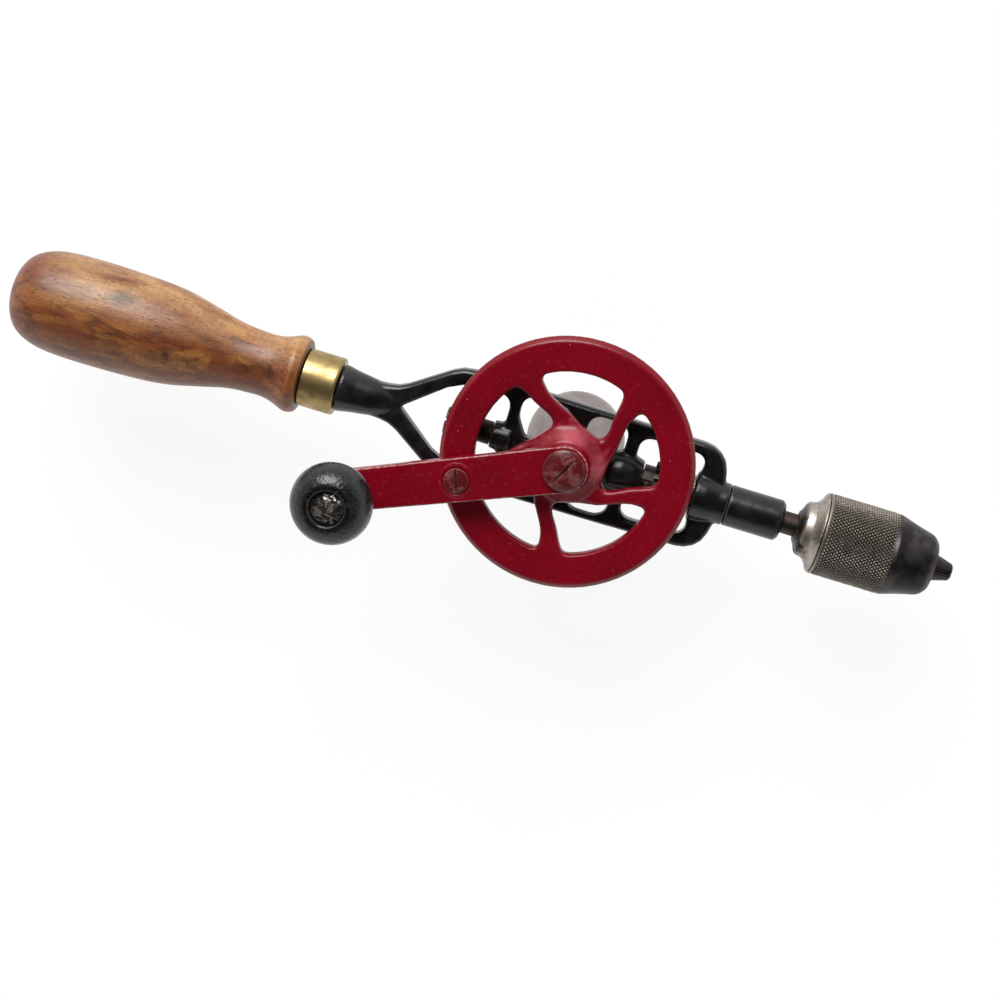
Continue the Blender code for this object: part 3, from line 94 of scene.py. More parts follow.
NOSE_SHARES = (
    (0.6, 0.986), (0.715, 0.947), (0.77, 0.9), (0.86, 0.778), (0.965, 0.657), (0.99, 0.622),
)
BEAD_SHARES = ((0.995, 0.022), (0.995, 0.006), (0.98, 0.0))

# Where the shell's knurled band ends, begins and starts to narrow, as shares of its length, and
# how wide it still is at its front, as a share of its radius
BAND_FRONT, BAND_BACK, FADE_START = 0.675, 0.026, 0.578
BAND_NARROW = 0.949
# The chuck body's collar and the thread in front of it, and the wall of the handle's ferrule
COLLAR_RADIUS, COLLAR_LENGTH, THREAD_RADIUS = 0.0096, 0.008, 0.0112
FERRULE_WALL = 0.0008
# Radii of the holes for the knob's rivet and of its shank
RIVET_HOLE, RIVET_SHANK = 0.0031, 0.0028

# Marks in the handle's wood: the place of each, its length along X, its width, and how strongly
# it shows
WOOD_MARKS = (
    ((-0.1049, 0.0001, 0.0536), 0.0042, 0.0026, 0.85),
    ((-0.1401, -0.0035, 0.0580), 0.0028, 0.0034, 0.85),
    ((-0.1137, -0.0009, 0.0531), 0.0058, 0.0022, 0.4),
    ((-0.1275, 0.0052, 0.0545), 0.0090, 0.0022, 0.45),
)
# The grey stain on the back of the grip, and the dark spot on the chuck's collar: place and sizes
WOOD_STAIN = ((-0.1592, 0.0103, 0.0565), 0.0075, 0.004)
COLLAR_DARK_SPOT = ((0.0822, -0.005, 0.0502), 0.004, 0.0046)
HUB_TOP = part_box("drive_wheel")[1].z
# Spots on the wheel's hub, rubbed pink and painted as its highlight: X and Y from the wheel's
# axis, and two sizes
HUB_RUBS_AND_HIGHLIGHTS = ((-0.001, 0.0125, 0.009, 0.007), (-0.013, 0.008, 0.007, 0.005),
            (0.0115, 0.003, 0.004, 0.008))
# How the wheel's casting is rounded at its hub and its spokes: the rounds of smoothing, between
# which two radii, and down to what depth under the hub's top
WHEEL_ROUNDING = ((55, 0.0088, 0.017, 0.0064), (24, 0.0135, 0.0315, 1.0))


def linear(code):
    """The linear red, green, blue and alpha of an sRGB hex code."""
    shares = [int(code[place:place + 2], 16) / 255 for place in (0, 2, 4)]
    values = [s / 12.92 if s <= 0.04045 else ((s + 0.055) / 1.055) ** 2.4 for s in shares]
    return (*values, 1.0)


def colour(label, code, description):
    """A colour setting, whose default is an sRGB hex code."""
    return bpy.props.FloatVectorProperty(
        name=label, description=description, default=linear(code), size=4, min=0, max=1,
        subtype="COLOR")


def number(label, default, description, **settings):
    """A number setting that isn't below zero."""
    return bpy.props.FloatProperty(
        name=label, description=description, default=default, min=0, **settings)


def length(label, default, description):
    """A length setting in metres."""
    return number(label, default, description, precision=5, unit="LENGTH")


def whole(label, default, description):
    """A whole-number setting."""
    return bpy.props.IntProperty(name=label, description=description, default=default, min=0)


class HANDDRILL_PG_paint(bpy.types.PropertyGroup):
    """Colours of the painted pieces."""

    red: colour("Red", "7d0016", "Enamel of the wheel and the crank")
    red_deep: colour("Deep red", "52010c", "Where the red enamel lies thick or dirty")
    # Also the colour of the painted highlight on the wheel's hub
    red_rubbed_and_sheen: colour("Rubbed red", "b84f5c", "Where hands have thinned the red enamel")
    # Also laid in pale lines along the edges as part of their painted highlight
    chip_and_edge_sheen: colour("Chip", "b79a92", "Primer and bare iron in small chips")
    black: colour("Black", "0f0f11", "Enamel of the iron frame")
    black_rubbed: colour("Rubbed black", "6b6863", "Where the black enamel is worn to the iron")
    screw: colour("Painted screw", "571015", "Screws painted over with the wheel")
    screw_worn: colour("Worn screw", "9a6264", "Where the screws have lost their paint")
    knob: colour("Knob", "0b0a0b", "Paint of the crank's wooden knob")
    knob_worn: colour("Worn knob", "7d7c7b", "Rubbed specks on the knob")


class HANDDRILL_PG_wood(bpy.types.PropertyGroup):
    """Colours and grain of the handle's beech."""

    middle: colour("Middle", "88491f", "Most of the varnished wood")
    gold: colour("Gold", "b87c3c", "Light bands under the varnish")
    brown: colour("Brown", "4f2412", "Darkened bands and mottling")
    # Laid only on the grip's side towards the key lamp (+Y), as a painted highlight
    pale: colour("Pale", "d6a872", "The side that hands have rubbed pale")
    blush: colour("Blush", "7b3d24", "Reddish patches and the rounded back end")
    fleck: colour("Fleck", "35180b", "Pores, knots and marks")
    stain: colour("Stain", "33291f", "Grey stain on the back of the grip")
    fibre: length("Fibre width", 0.0005, "Width of one fibre across the grain, as drawn")


class HANDDRILL_PG_metal(bpy.types.PropertyGroup):
    """Colours of the bare metals."""

    brass: colour("Brass", "b39b68", "The handle's ferrule")
    brass_dull: colour("Dull brass", "75623c", "Tarnish on the ferrule")
    bronze: colour("Bronze", "5d4a38", "Bearing bushes")
    steel: colour("Steel", "b5aba1", "Turned steel of the chuck's body")
    steel_dull: colour("Dull steel", "7c736a", "Shell and worn places")
    oiled: colour("Oiled steel", "403d3a", "Spindle and gears under old oil")
    dark_steel: colour("Dark steel", "302c2d", "The shell's nose and the jaws")
    rust: colour("Rust", "4a3324", "Thin rust and old grease")
    aluminium: colour("Aluminium", "a09694", "The side handle")


class HANDDRILL_PG_shape(bpy.types.PropertyGroup):
    """Sizes of the fine shapes."""

    turn_steps: whole("Turning steps", 144, "Faces round a turned piece")
    cast_grain: length("Casting detail", 0.00045, "Size of the faces on the cast pieces")
    cast_rounds: whole("Casting rounding", 7, "How softly the cast edges are rounded")
    plate_grain: length("Plate detail", 0.00035, "Size of the faces on the crank arm")
    screw_grain: length("Screw detail", 0.00016, "Size of the faces on the screws")
    # The real knurl is a little finer, and is drawn this coarse so that its diamonds show
    knurl_pitch: length("Knurl pitch", 0.0013, "Width of one diamond round the shell")
    knurl_length: length("Knurl length", 0.00168, "Length of one diamond along the shell")
    knurl_depth: length("Knurl depth", 0.0005, "Depth of the grooves between the diamonds")


class HANDDRILL_PG_stage(bpy.types.PropertyGroup):
    """The camera, the floor and the lamps."""

    lens: number("Lens", 63.684, "Focal length in millimetres", unit="CAMERA")
    floor: colour("Floor", "e6e6e6", "The plain floor")
    floor_white: number("Floor white", 0.85, "How much of the floor the eye sees as plain white",
                        max=1)
    floor_glow: number("Floor glow", 1.05, "Strength of that white, which makes up for the rest")
    key: number("Key lamp", 3.4, "Strength of the lamp at the top of the picture")
    fill: number("Fill lamp", 0.15, "Strength of the lamp at the bottom of the picture")
    spread: number("Lamp width", math.radians(38), "How wide the lamps look from the drill",
                   unit="ROTATION")
    sky: number("Room light", 0.32, "Strength of the light from all round")


class HANDDRILL_PG_settings(bpy.types.PropertyGroup):
    """All sizes and colours of the drill's looks."""

    paint: bpy.props.PointerProperty(type=HANDDRILL_PG_paint)
    wood: bpy.props.PointerProperty(type=HANDDRILL_PG_wood)
    metal: bpy.props.PointerProperty(type=HANDDRILL_PG_metal)
    shape: bpy.props.PointerProperty(type=HANDDRILL_PG_shape)
    stage: bpy.props.PointerProperty(type=HANDDRILL_PG_stage)


def chosen():
    """The scene's settings."""
    return bpy.context.scene.hand_drill


# Node work


def add_node(tree, kind, inputs=None, **settings):
    """Adds a node of this kind with its settings, and sets its inputs or links them."""
    node = tree.nodes.new(kind)
    for name, value in settings.items():
        setattr(node, name, value)
    for name, value in (inputs or {}).items():
        if isinstance(value, bpy.types.NodeSocket):
            tree.links.new(value, node.inputs[name])
        else:
            node.inputs[name].default_value = value
    return node


def pattern_place(tree, grain, centre=(0, 0, 0)):
    """Object coordinates counted from centre, in which one unit is the grain's size.

    grain is a size in metres, or a tuple of three where it differs along X, Y and Z.
    """
    sizes = grain if isinstance(grain, tuple) else (grain, grain, grain)
    place = add_node(tree, "ShaderNodeTexCoord")
    settings = {"Vector": place.outputs["Object"], "Location": centre, "Scale": sizes}
    mapping = add_node(tree, "ShaderNodeMapping", settings, vector_type="TEXTURE")
    return mapping.outputs["Vector"]


def cloud(tree, grain, low=0.0, high=1.0, detail=2.0, twist=0.0, centre=(0, 0, 0)):
    """A cloudy mask with patches of the grain's size: 0 below low and 1 above high."""
    settings = {"Vector": pattern_place(tree, grain, centre), "Scale": 1.0, "Detail": detail,
                "Distortion": twist}
    noise = add_node(tree, "ShaderNodeTexNoise", settings)
    spread = {"Value": noise.outputs["Fac"], "From Min": low, "From Max": high}
    return add_node(tree, "ShaderNodeMapRange", spread).outputs["Result"]


def edge_mask(tree, name, grain, start, full, ragged=0.8):
    """A mask of proud or sunk places with a ragged border, from an attribute of the mesh."""
    edge = add_node(tree, "ShaderNodeAttribute", attribute_name=name)
    noise = cloud(tree, grain, detail=4.0)
    border = add_node(tree, "ShaderNodeMath", {0: noise, 1: ragged, 2: -ragged / 2},
                      operation="MULTIPLY_ADD")
    value = add_node(tree, "ShaderNodeMath", {0: edge.outputs["Fac"], 1: border.outputs[0]},
                     operation="ADD")
    spread = {"Value": value.outputs[0], "From Min": start, "From Max": full}
    return add_node(tree, "ShaderNodeMapRange", spread).outputs["Result"]


def spot_mask(tree, centre, along, across):
    """A soft oval mask with a ragged border: along is its size along X, and across the rest."""
    ragged, outside, inside = 1.1, 1.5, 0.75
    place = pattern_place(tree, (along, across, across), centre)
    noise = add_node(tree, "ShaderNodeTexNoise", {"Vector": place, "Scale": 2.2, "Detail": 4.0})
    reach = add_node(tree, "ShaderNodeVectorMath", {0: place}, operation="LENGTH")
    value = add_node(tree, "ShaderNodeMath",
                     {0: noise.outputs["Fac"], 1: ragged, 2: reach.outputs["Value"]},
                     operation="MULTIPLY_ADD")
    spread = {"Value": value.outputs[0], "From Min": outside, "From Max": inside}
    return add_node(tree, "ShaderNodeMapRange", spread).outputs["Result"]


def zone(tree, axis, start, stop):
    """A mask that runs from 0 at start to 1 at stop along one of the object's axes."""
    parts = add_node(tree, "ShaderNodeSeparateXYZ", {"Vector": pattern_place(tree, 1.0)})
    spread = {"Value": parts.outputs[axis], "From Min": start, "From Max": stop}
    return add_node(tree, "ShaderNodeMapRange", spread).outputs["Result"]


def coats(tree, base, layers):
    """Colours laid over each other, each through its own mask and with its own strength."""
    top = base
    for mask, strength, over in layers:
        part = add_node(tree, "ShaderNodeMath", {0: mask, 1: strength}, operation="MULTIPLY")
        mix = add_node(tree, "ShaderNodeMix", {0: part.outputs[0], 6: top, 7: over},
                       data_type="RGBA")
        top = mix.outputs[2]
    return top


def make_finish(name, base, layers, gloss, metallic, bumps, **sockets):
    """A material from its colour layers, the masks of its gloss and metal, and its bumps.

    layers makes the masks by name, and under "colour" the (mask, strength, colour) of each coat;
    gloss is (roughness, roughness where the mask is 1, mask); metallic is a number or the same
    kind of triple; bumps are (height, depth in metres) pairs; sockets are plain shader values.
    """
    material = bpy.data.materials.new(name)
    material.use_nodes = True
    tree = material.node_tree
    shader = tree.nodes["Principled BSDF"]
    masks = layers(tree)
    tree.links.new(coats(tree, base, masks["colour"]), shader.inputs["Base Color"])
    for socket, value in (("Roughness", gloss), ("Metallic", metallic)):
        if isinstance(value, tuple):
            plain, masked, mask = value
            spread = {"Value": masks[mask], "To Min": plain, "To Max": masked}
            result = add_node(tree, "ShaderNodeMapRange", spread).outputs["Result"]
            tree.links.new(result, shader.inputs[socket])
        else:
            shader.inputs[socket].default_value = value
    normal = None
    for mask, depth in bumps:
        inputs = {"Height": masks[mask], "Distance": depth}
        if normal:
            inputs["Normal"] = normal
        normal = add_node(tree, "ShaderNodeBump", inputs).outputs["Normal"]
    tree.links.new(normal, shader.inputs["Normal"])
    for socket, value in sockets.items():
        shader.inputs[socket.replace("_", " ")].default_value = value
    return material


# Finishes


def red_enamel():
    """Gloss enamel brushed on cast iron: thick and a little uneven, with small pale chips.

    Its edges and the wheel's hub are rubbed pink and its edges chipped pale, both partly painted
    highlight.
    """
    paint = chosen().paint

    def layers(tree):
        rubbed = edge_mask(tree, "proud", 0.003, 0.42, 1.1)
        chips = cloud(tree, 0.0011, 0.74, 0.77, detail=3.0)
        # Pale ragged lines along the edges: part chipped paint, part painted edge highlight
        edges = edge_mask(tree, "proud", 0.0012, 0.58, 0.82, ragged=1.3)
        # Deeper red in the casting's hollows and inner corners
        darker_hollows = edge_mask(tree, "sunk", 0.004, 0.25, 0.9)
        thick = cloud(tree, 0.012, 0.35, 0.75)
        dust = cloud(tree, 0.0014, 0.58, 0.85, detail=5.0)
        # Pink spots mostly on the hub's side towards the key lamp: part rubbed paint, part painted
        # highlight
        hub = [spot_mask(tree, (AXIS.x + x, AXIS.y + y, HUB_TOP), long, wide)
               for x, y, long, wide in HUB_RUBS_AND_HIGHLIGHTS]
        return {
            "colour": [(thick, 0.35, paint.red_deep), (darker_hollows, 0.8, paint.red_deep),
                       (rubbed, 0.2, paint.red_rubbed_and_sheen),
                       *((spot, 0.85, paint.red_rubbed_and_sheen) for spot in hub),
                       (dust, 0.08, paint.chip_and_edge_sheen), (edges, 0.6, paint.chip_and_edge_sheen),
                       (chips, 1.0, paint.chip_and_edge_sheen)],
            "rubbed": rubbed,
            "flow": cloud(tree, 0.0016, detail=1.0),
        }

    return make_finish("red_enamel_on_iron", paint.red, layers, (0.3, 0.5, "rubbed"), 0.0,
                       [("flow", 0.00003)], Specular_IOR_Level=0.35)


def black_enamel():
    """Stoved black enamel on cast iron: glossy, grey where the casting's edges are worn."""
    paint = chosen().paint

    def layers(tree):
        rubbed = edge_mask(tree, "proud", 0.004, 0.5, 1.3)
        dust = cloud(tree, 0.006, 0.45, 0.8, detail=4.0)
        return {
            "colour": [(dust, 0.12, paint.black_rubbed), (rubbed, 0.6, paint.black_rubbed)],
            "rubbed": rubbed,
            "flow": cloud(tree, 0.0022, detail=3.0),
        }

    return make_finish("black_enamel_on_iron", paint.black, layers, (0.26, 0.48, "rubbed"), 0.0,
                       [("flow", 0.00005)], Specular_IOR_Level=0.45)


def painted_screw():
    """A steel screw painted over in red: brownish, greyed where the driver and hands rub."""
    paint = chosen().paint

    def layers(tree):
        worn = cloud(tree, 0.0038, 0.5, 0.62, detail=5.0, twist=0.8)
        edge = edge_mask(tree, "proud", 0.0015, 0.35, 0.9)
        # Near-black in the slot and the other hollows of the screw: painted shade
        darker_hollows = edge_mask(tree, "sunk", 0.002, 0.2, 0.6)
        return {
            "colour": [(worn, 0.4, paint.screw_worn), (edge, 0.35, paint.screw_worn),
                       (darker_hollows, 1.0, linear("1d0c0b"))],
            "worn": worn,
            "pits": cloud(tree, 0.0009, detail=3.0),
        }

    return make_finish("red_paint_on_steel_screw", paint.screw, layers, (0.3, 0.42, "worn"),
                       0.0, [("pits", 0.00006)], Specular_IOR_Level=0.5)


def black_knob():
    """Turned wood under black paint: satin, with grey specks where it is handled."""
    paint = chosen().paint

    def layers(tree):
        specks = cloud(tree, (0.0009, 0.0009, 0.0014), 0.56, 0.68, detail=5.0)
        rubbed = edge_mask(tree, "proud", 0.005, 0.3, 1.1, ragged=1.2)
        return {
            "colour": [(specks, 0.1, paint.knob_worn), (rubbed, 0.08, paint.knob_worn)],
            "specks": specks,
            "pores": cloud(tree, (0.0011, 0.0011, 0.0019), detail=4.0),
        }

    return make_finish("black_paint_on_turned_wood", paint.knob, layers, (0.22, 0.42, "specks"),
                       0.0, [("pores", 0.0002)], Specular_IOR_Level=0.46)


def varnished_beech():
    """Varnished beech: warm bands along the grain, short dark flecks and a satin coat."""
    wood = chosen().wood
    fibre = wood.fibre
    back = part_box("handle")[0].x
    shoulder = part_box("handle_ferrule")[0].x
    # For each pattern: its size along the wood's grain and across it, where its mask starts and
    # is full, its detail and its twist. Real fibres are finer, and are drawn wide enough to show
    patterns = {
        "gold": (0.032, 0.008, 0.42, 0.6, 3.0, 1.0),
        "brown": (0.013, 0.0048, 0.5, 0.68, 5.0, 1.4),
        "blush": (0.02, 0.007, 0.46, 0.66, 4.0, 0.8),
        "pale": (0.022, 0.008, 0.34, 0.56, 4.0, 0.0),
        "ripple": (0.0011, 0.007, 0.42, 0.68, 3.0, 0.0),
        "grain": (fibre * 3.2, fibre * 0.8, 0.4, 0.66, 3.0, 0.0),
        "fibre": (fibre * 22, fibre, 0.4, 0.75, 4.0, 0.0),
        "flecks": (0.003, 0.0007, 0.64, 0.7, 2.0, 0.0),
    }

    def layers(tree):
        masks = {name: cloud(tree, (along, across, across), *rest, centre=tuple(AXIS))
                 for name, (along, across, *rest) in patterns.items()}
        # The pale cloud is kept to the +Y side, towards the key lamp, and away from the back end:
        # a painted highlight
        for side in (zone(tree, "Y", AXIS.y + 0.002, AXIS.y + 0.012),
                     zone(tree, "X", back + 0.008, back + 0.024)):
            masks["pale"] = add_node(tree, "ShaderNodeMath", {0: masks["pale"], 1: side},
                                     operation="MULTIPLY").outputs[0]
        back_end = zone(tree, "X", back + 0.03, back + 0.004)
        face = zone(tree, "X", shoulder - 0.0014, shoulder - 0.0004)
        rim, crease = (edge_mask(tree, name, 0.004, 0.3, 1.0) for name in ("proud", "sunk"))
        marks = [(spot_mask(tree, *mark), strength, wood.fleck) for *mark, strength in WOOD_MARKS]
        stain = spot_mask(tree, *WOOD_STAIN)
        masks["colour"] = [
            (masks["gold"], 0.8, wood.gold), (masks["blush"], 0.6, wood.blush),
            (back_end, 0.55, wood.blush), (masks["brown"], 0.75, wood.brown),
            (masks["pale"], 0.65, wood.pale), (masks["ripple"], 0.2, wood.brown),
            (masks["grain"], 0.3, wood.brown), (masks["fibre"], 0.35, wood.brown),
            (masks["flecks"], 0.75, wood.fleck), *marks, (stain, 0.75, wood.stain),
            (rim, 0.4, wood.gold), (crease, 0.6, wood.fleck), (face, 0.6, wood.fleck)]
        return masks

    return make_finish("varnished_beech", wood.middle, layers, (0.38, 0.5, "fibre"), 0.0,
                       [("fibre", 0.00003), ("flecks", -0.00006), ("grain", 0.00002)],
                       Specular_IOR_Level=0.45, Coat_Weight=0.15, Coat_Roughness=0.25)


def turned_metal(name, base, dull, share, roughness, axis=0, rust=0.35, spread=0.006, bare=1.0,
                 darker_end=None, stain=None):
    """A turned metal: fine tool lines round its axis, dull patches, thin rust and old grease.

    base and dull name its colours, share and rust say how strongly its dull patches and its rust
    show, spread is the size of a patch and bare its metallic value. The last two give the (axis,
    start, stop) of an end coloured darker, and the place and the two sizes of a dark spot.
    """
    metal = chosen().metal
    dull = getattr(metal, dull)
    # Real tool lines are finer, and are drawn this wide so that they show
    line = 0.00035

    def layers(tree):
        # A pattern that changes only along the axis makes rings round it
        grain = [1.0, 1.0, 1.0]
        grain[axis] = line
        lines = cloud(tree, tuple(grain), detail=3.0)
        patches = cloud(tree, spread, 0.42, 0.66, detail=5.0, twist=0.7)
        stains = cloud(tree, 0.0042, 0.56, 0.7, detail=5.0, twist=1.2, centre=(0.03, 0.01, 0.02))
        corner = edge_mask(tree, "sunk", 0.002, 0.25, 0.8)
        coloured = [(patches, share, dull), (lines, 0.18, dull), (stains, rust, metal.rust),
                    (corner, 1.0, metal.rust)]
        if darker_end:
            coloured.append((zone(tree, *darker_end), 0.85, metal.oiled))
        if stain:
            coloured.append((spot_mask(tree, *stain), 0.95, linear("17110d")))
        return {"colour": coloured, "lines": lines, "patches": patches}

    return make_finish(name, getattr(metal, base), layers,
                       (roughness, roughness + 0.14, "patches"), bare, [("lines", 0.00002)])


def satin_brass():
    """Drawn brass gone satin: yellow with brown tarnish and faint lines round the ferrule."""
    return turned_metal("satin_brass", "brass", "brass_dull", 0.6, 0.34, rust=0.1, bare=0.9)


def bearing_bronze():
    """Plain bearing bronze, dull with old oil."""
    return turned_metal("bearing_bronze", "bronze", "rust", 0.5, 0.42)


def turned_steel():
    """Turned steel, once bright: satin, with brown patches of thin rust."""
    return turned_metal("turned_steel", "steel", "steel_dull", 0.6, 0.32, rust=0.55, spread=0.004)


def collar_steel():
    """The chuck's turned collar: worn bright, with brown patches, a darker back end and a dark
    spot.
    """
    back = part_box("chuck_body")[0].x
    return turned_metal("worn_collar_steel", "steel", "steel_dull", 0.6, 0.4, rust=0.8,
                        spread=0.004, darker_end=("X", back + 0.0026, back + 0.0014),
                        stain=COLLAR_DARK_SPOT)


def oiled_steel():
    """Machined steel under old oil: grey-brown and dull."""
    return turned_metal("oiled_steel", "oiled", "rust", 0.3, 0.42)


def dark_steel():
    """Hardened steel, blued nearly black, with rubbed grey patches."""
    return turned_metal("hardened_dark_steel", "dark_steel", "steel_dull", 0.12, 0.4, rust=0.15)


def satin_aluminium():
    """Turned aluminium gone satin: pale grey with tool lines round it."""
    return turned_metal("satin_aluminium", "aluminium", "steel_dull", 0.4, 0.36, axis=2,
                        rust=0.12, spread=0.009)


def rusted_rivet():
    """A hammered rivet head: dark brown rust with bright scratches where it is rubbed."""
    metal = chosen().metal

    def layers(tree):
        worn = cloud(tree, (0.006, 0.003, 0.005), 0.53, 0.59, detail=2.5, twist=2.0)
        crust = cloud(tree, 0.0018, 0.4, 0.7, detail=5.0)
        edge = edge_mask(tree, "proud", 0.001, 0.3, 0.9)
        return {
            "colour": [(crust, 0.6, linear("3b2a23")), (edge, 0.6, metal.steel_dull),
                       (worn, 0.85, metal.steel)],
            "worn": worn,
            "crust": crust,
        }

    return make_finish("rusted_steel_rivet", linear("171213"), layers, (0.55, 0.34, "worn"),
                       (0.2, 0.9, "worn"), [("crust", 0.00018)])


def knurled_steel():
    """Knurled steel worn grey: the diamonds' tips are rubbed bright and the grooves are dark.

    The nose in front of the knurl is smooth and nearly black, and the bead behind it is bright.
    """
    metal = chosen().metal
    low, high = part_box("chuck_shell")
    front, fading, back, bead_end = (
        low.x + (high.x - low.x) * share
        for share in (FADE_START, FADE_START - 0.02, BAND_BACK, BAND_BACK - 0.004))

    def layers(tree):
        tips, band = (add_node(tree, "ShaderNodeAttribute", attribute_name=name).outputs["Fac"]
                      for name in ("tip", "band"))
        patches = cloud(tree, 0.007, 0.4, 0.68, detail=5.0, twist=0.6)
        nose = zone(tree, "X", fading, front)
        smudge = cloud(tree, (0.006, 0.008, 0.008), 0.46, 0.6, detail=3.0)
        smudged = add_node(tree, "ShaderNodeMath", {0: nose, 1: smudge}, operation="MULTIPLY")
        return {
            "colour": [(patches, 0.4, metal.rust),
                       (zone(tree, "X", back, bead_end), 0.6, linear("9a928a")),
                       (nose, 1.0, metal.dark_steel), (smudged.outputs[0], 1.0, linear("4a4646")),
                       (band, 0.85, linear("1c1918")), (tips, 0.85, linear("9a9187"))],
            "patches": patches,
            "pits": cloud(tree, 0.0008, detail=3.0),
        }

    return make_finish("knurled_steel", metal.steel_dull, layers, (0.36, 0.5, "patches"), 0.9,
                       [("pits", 0.00003)])


def seen_ray(tree):
    """1 for the rays of the camera and those that metal and glass send on, and 0 for others."""
    ray = add_node(tree, "ShaderNodeLightPath")
    mirrored = add_node(tree, "ShaderNodeMath", {
        0: ray.outputs["Is Glossy Ray"], 1: ray.outputs["Is Transmission Ray"]},
        operation="MAXIMUM")
    return add_node(tree, "ShaderNodeMath", {
        0: ray.outputs["Is Camera Ray"], 1: mirrored.outputs[0]}, operation="MAXIMUM").outputs[0]


def pale_floor():
    """A plain matt floor that shows white to the eye and still takes the drill's shadow."""
    stage = chosen().stage
    material = bpy.data.materials.new("matt_white_floor")
    material.use_nodes = True
    tree = material.node_tree
    shader = tree.nodes["Principled BSDF"]
    shader.inputs["Base Color"].default_value = stage.floor
    shader.inputs["Roughness"].default_value = 0.9
    shader.inputs["Specular IOR Level"].default_value = 0.1
    white = add_node(tree, "ShaderNodeEmission", {"Strength": stage.floor_glow})
    share = add_node(tree, "ShaderNodeMath", {0: seen_ray(tree), 1: stage.floor_white},
                     operation="MULTIPLY")
    both = add_node(tree, "ShaderNodeMixShader",
                    {0: share.outputs[0], 1: shader.outputs[0], 2: white.outputs[0]})
    tree.links.new(both.outputs[0], tree.nodes["Material Output"].inputs["Surface"])
    return material


def finish(maker):
    """The material that this function makes, made only the first time."""
    name = "made_" + maker.__name__
    if name not in bpy.context.scene:
        bpy.context.scene[name] = maker().name
    return bpy.data.materials[bpy.context.scene[name]]


# Mesh work


def new_piece(name, work):
    """An object at the origin that holds the mesh worked up here."""
    mesh = bpy.data.meshes.new(name)
    work.to_mesh(mesh)
    work.free()
    piece = bpy.data.objects.new(name, mesh)
    bpy.context.scene.collection.objects.link(piece)
    return piece


def settle(piece):
    """Turns the piece's modifiers into plain mesh."""
    graph = bpy.context.evaluated_depsgraph_get()
    plain = bpy.data.meshes.new_from_object(piece.evaluated_get(graph))
    old = piece.data
    piece.modifiers.clear()
    piece.data = plain
    bpy.data.meshes.remove(old)


def curve_through(points, parts=8):
    """Points on the smooth curve through the given ones, with this many parts in each span."""
    ends = [points[0], *points, points[-1]]
    result = []
    for quad in zip(ends, ends[1:], ends[2:], ends[3:]):
        for part in range(parts):
            t = part / parts
            result.append(tuple(
                (2 * b + (c - a) * t + (2 * a - 5 * b + 4 * c - d) * t ** 2
                 + (3 * b - a - 3 * c + d) * t ** 3) / 2 for a, b, c, d in zip(*quad)))
    result.append(points[-1])
    return [(max(radius, 0), min(max(place, 0), 1)) for radius, place in result]


def scaled(shares, radius, low, long):
    """An outline in metres from shares of a radius and a length."""
    return [(share * radius, low + place * long) for share, place in shares]


def eased(outline, radius, closed=False):
    """The outline with each corner rounded, by no more than the lines beside it allow."""
    parts, most, straight = 4, 0.45, math.radians(165)
    points = [Vector(point) for point in outline]
    count = len(points)
    result = []
    for index, corner in enumerate(points):
        if not closed and index in (0, count - 1):
            result.append(corner)
            continue
        back = points[index - 1] - corner
        ahead = points[(index + 1) % count] - corner
        if min(back.length, ahead.length) < ON_AXIS or back.angle(ahead) > straight:
            result.append(corner)
            continue
        reach = min(radius, back.length * most, ahead.length * most)
        start, stop = corner + back.normalized() * reach, corner + ahead.normalized() * reach
        for part in range(parts + 1):
            t = part / parts
            result.append(start * (1 - t) ** 2 + corner * 2 * t * (1 - t) + stop * t ** 2)
    return [tuple(point) for point in result]


def closely(outline, step, closed=False):
    """The outline with points added so that none are further apart than step."""
    result = []
    pairs = list(zip(outline, outline[1:]))
    if closed:
        pairs.append((outline[-1], outline[0]))
    for start, stop in pairs:
        parts = max(1, math.ceil(math.dist(start, stop) / step))
        for part in range(parts):
            t = part / parts
            result.append(tuple(a + (b - a) * t for a, b in zip(start, stop)))
    if not closed:
        result.append(outline[-1])
    return result


def turned(name, outline, place, step=0.0009, closed=False, steps=None):
    """A turned piece from (radius, height) points, whose points on the axis are its poles."""
    steps = steps or chosen().shape.turn_steps
    work = bmesh.new()
    rings = []
    for radius, height in closely(outline, step, closed):
        if radius < ON_AXIS:
            rings.append([work.verts.new((0, 0, height))] * steps)
            continue
        rings.append([
            work.verts.new((radius * math.cos(a), radius * math.sin(a), height))
            for a in (math.tau * index / steps for index in range(steps))])
    for low, high in zip(rings, rings[1:] + (rings[:1] if closed else [])):
        for index in range(steps):
            after = (index + 1) % steps
            corners = dict.fromkeys((low[index], low[after], high[after], high[index]))
            if len(corners) > 2:
                work.faces.new(list(corners))
    bmesh.ops.recalc_face_normals(work, faces=work.faces)
    work.transform(place)
    piece = new_piece(name, work)
    piece.data.shade_smooth()
    return piece


def rod(radius, low, high, place):
    """A plain rod along Z before it is placed."""
    return turned("tool", [(0, low), (radius, low), (radius, high), (0, high)], place,
                  step=1.0, steps=48)


def bar(size, centre, place):
    """A plain bar before it is placed."""
    work = bmesh.new()
    bmesh.ops.create_cube(work, size=1)
    work.transform(place @ Matrix.Translation(centre) @ Matrix.Diagonal((*size, 1)))
    return new_piece("tool", work)


def carve(piece, tool, operation="DIFFERENCE"):
    """Cuts the tool out of the piece, or joins it on, and clears the tool away."""
    modifier = piece.modifiers.new("carve", "BOOLEAN")
    modifier.operation = operation
    modifier.solver = "EXACT"
    modifier.object = tool
    settle(piece)
    bpy.data.objects.remove(tool)


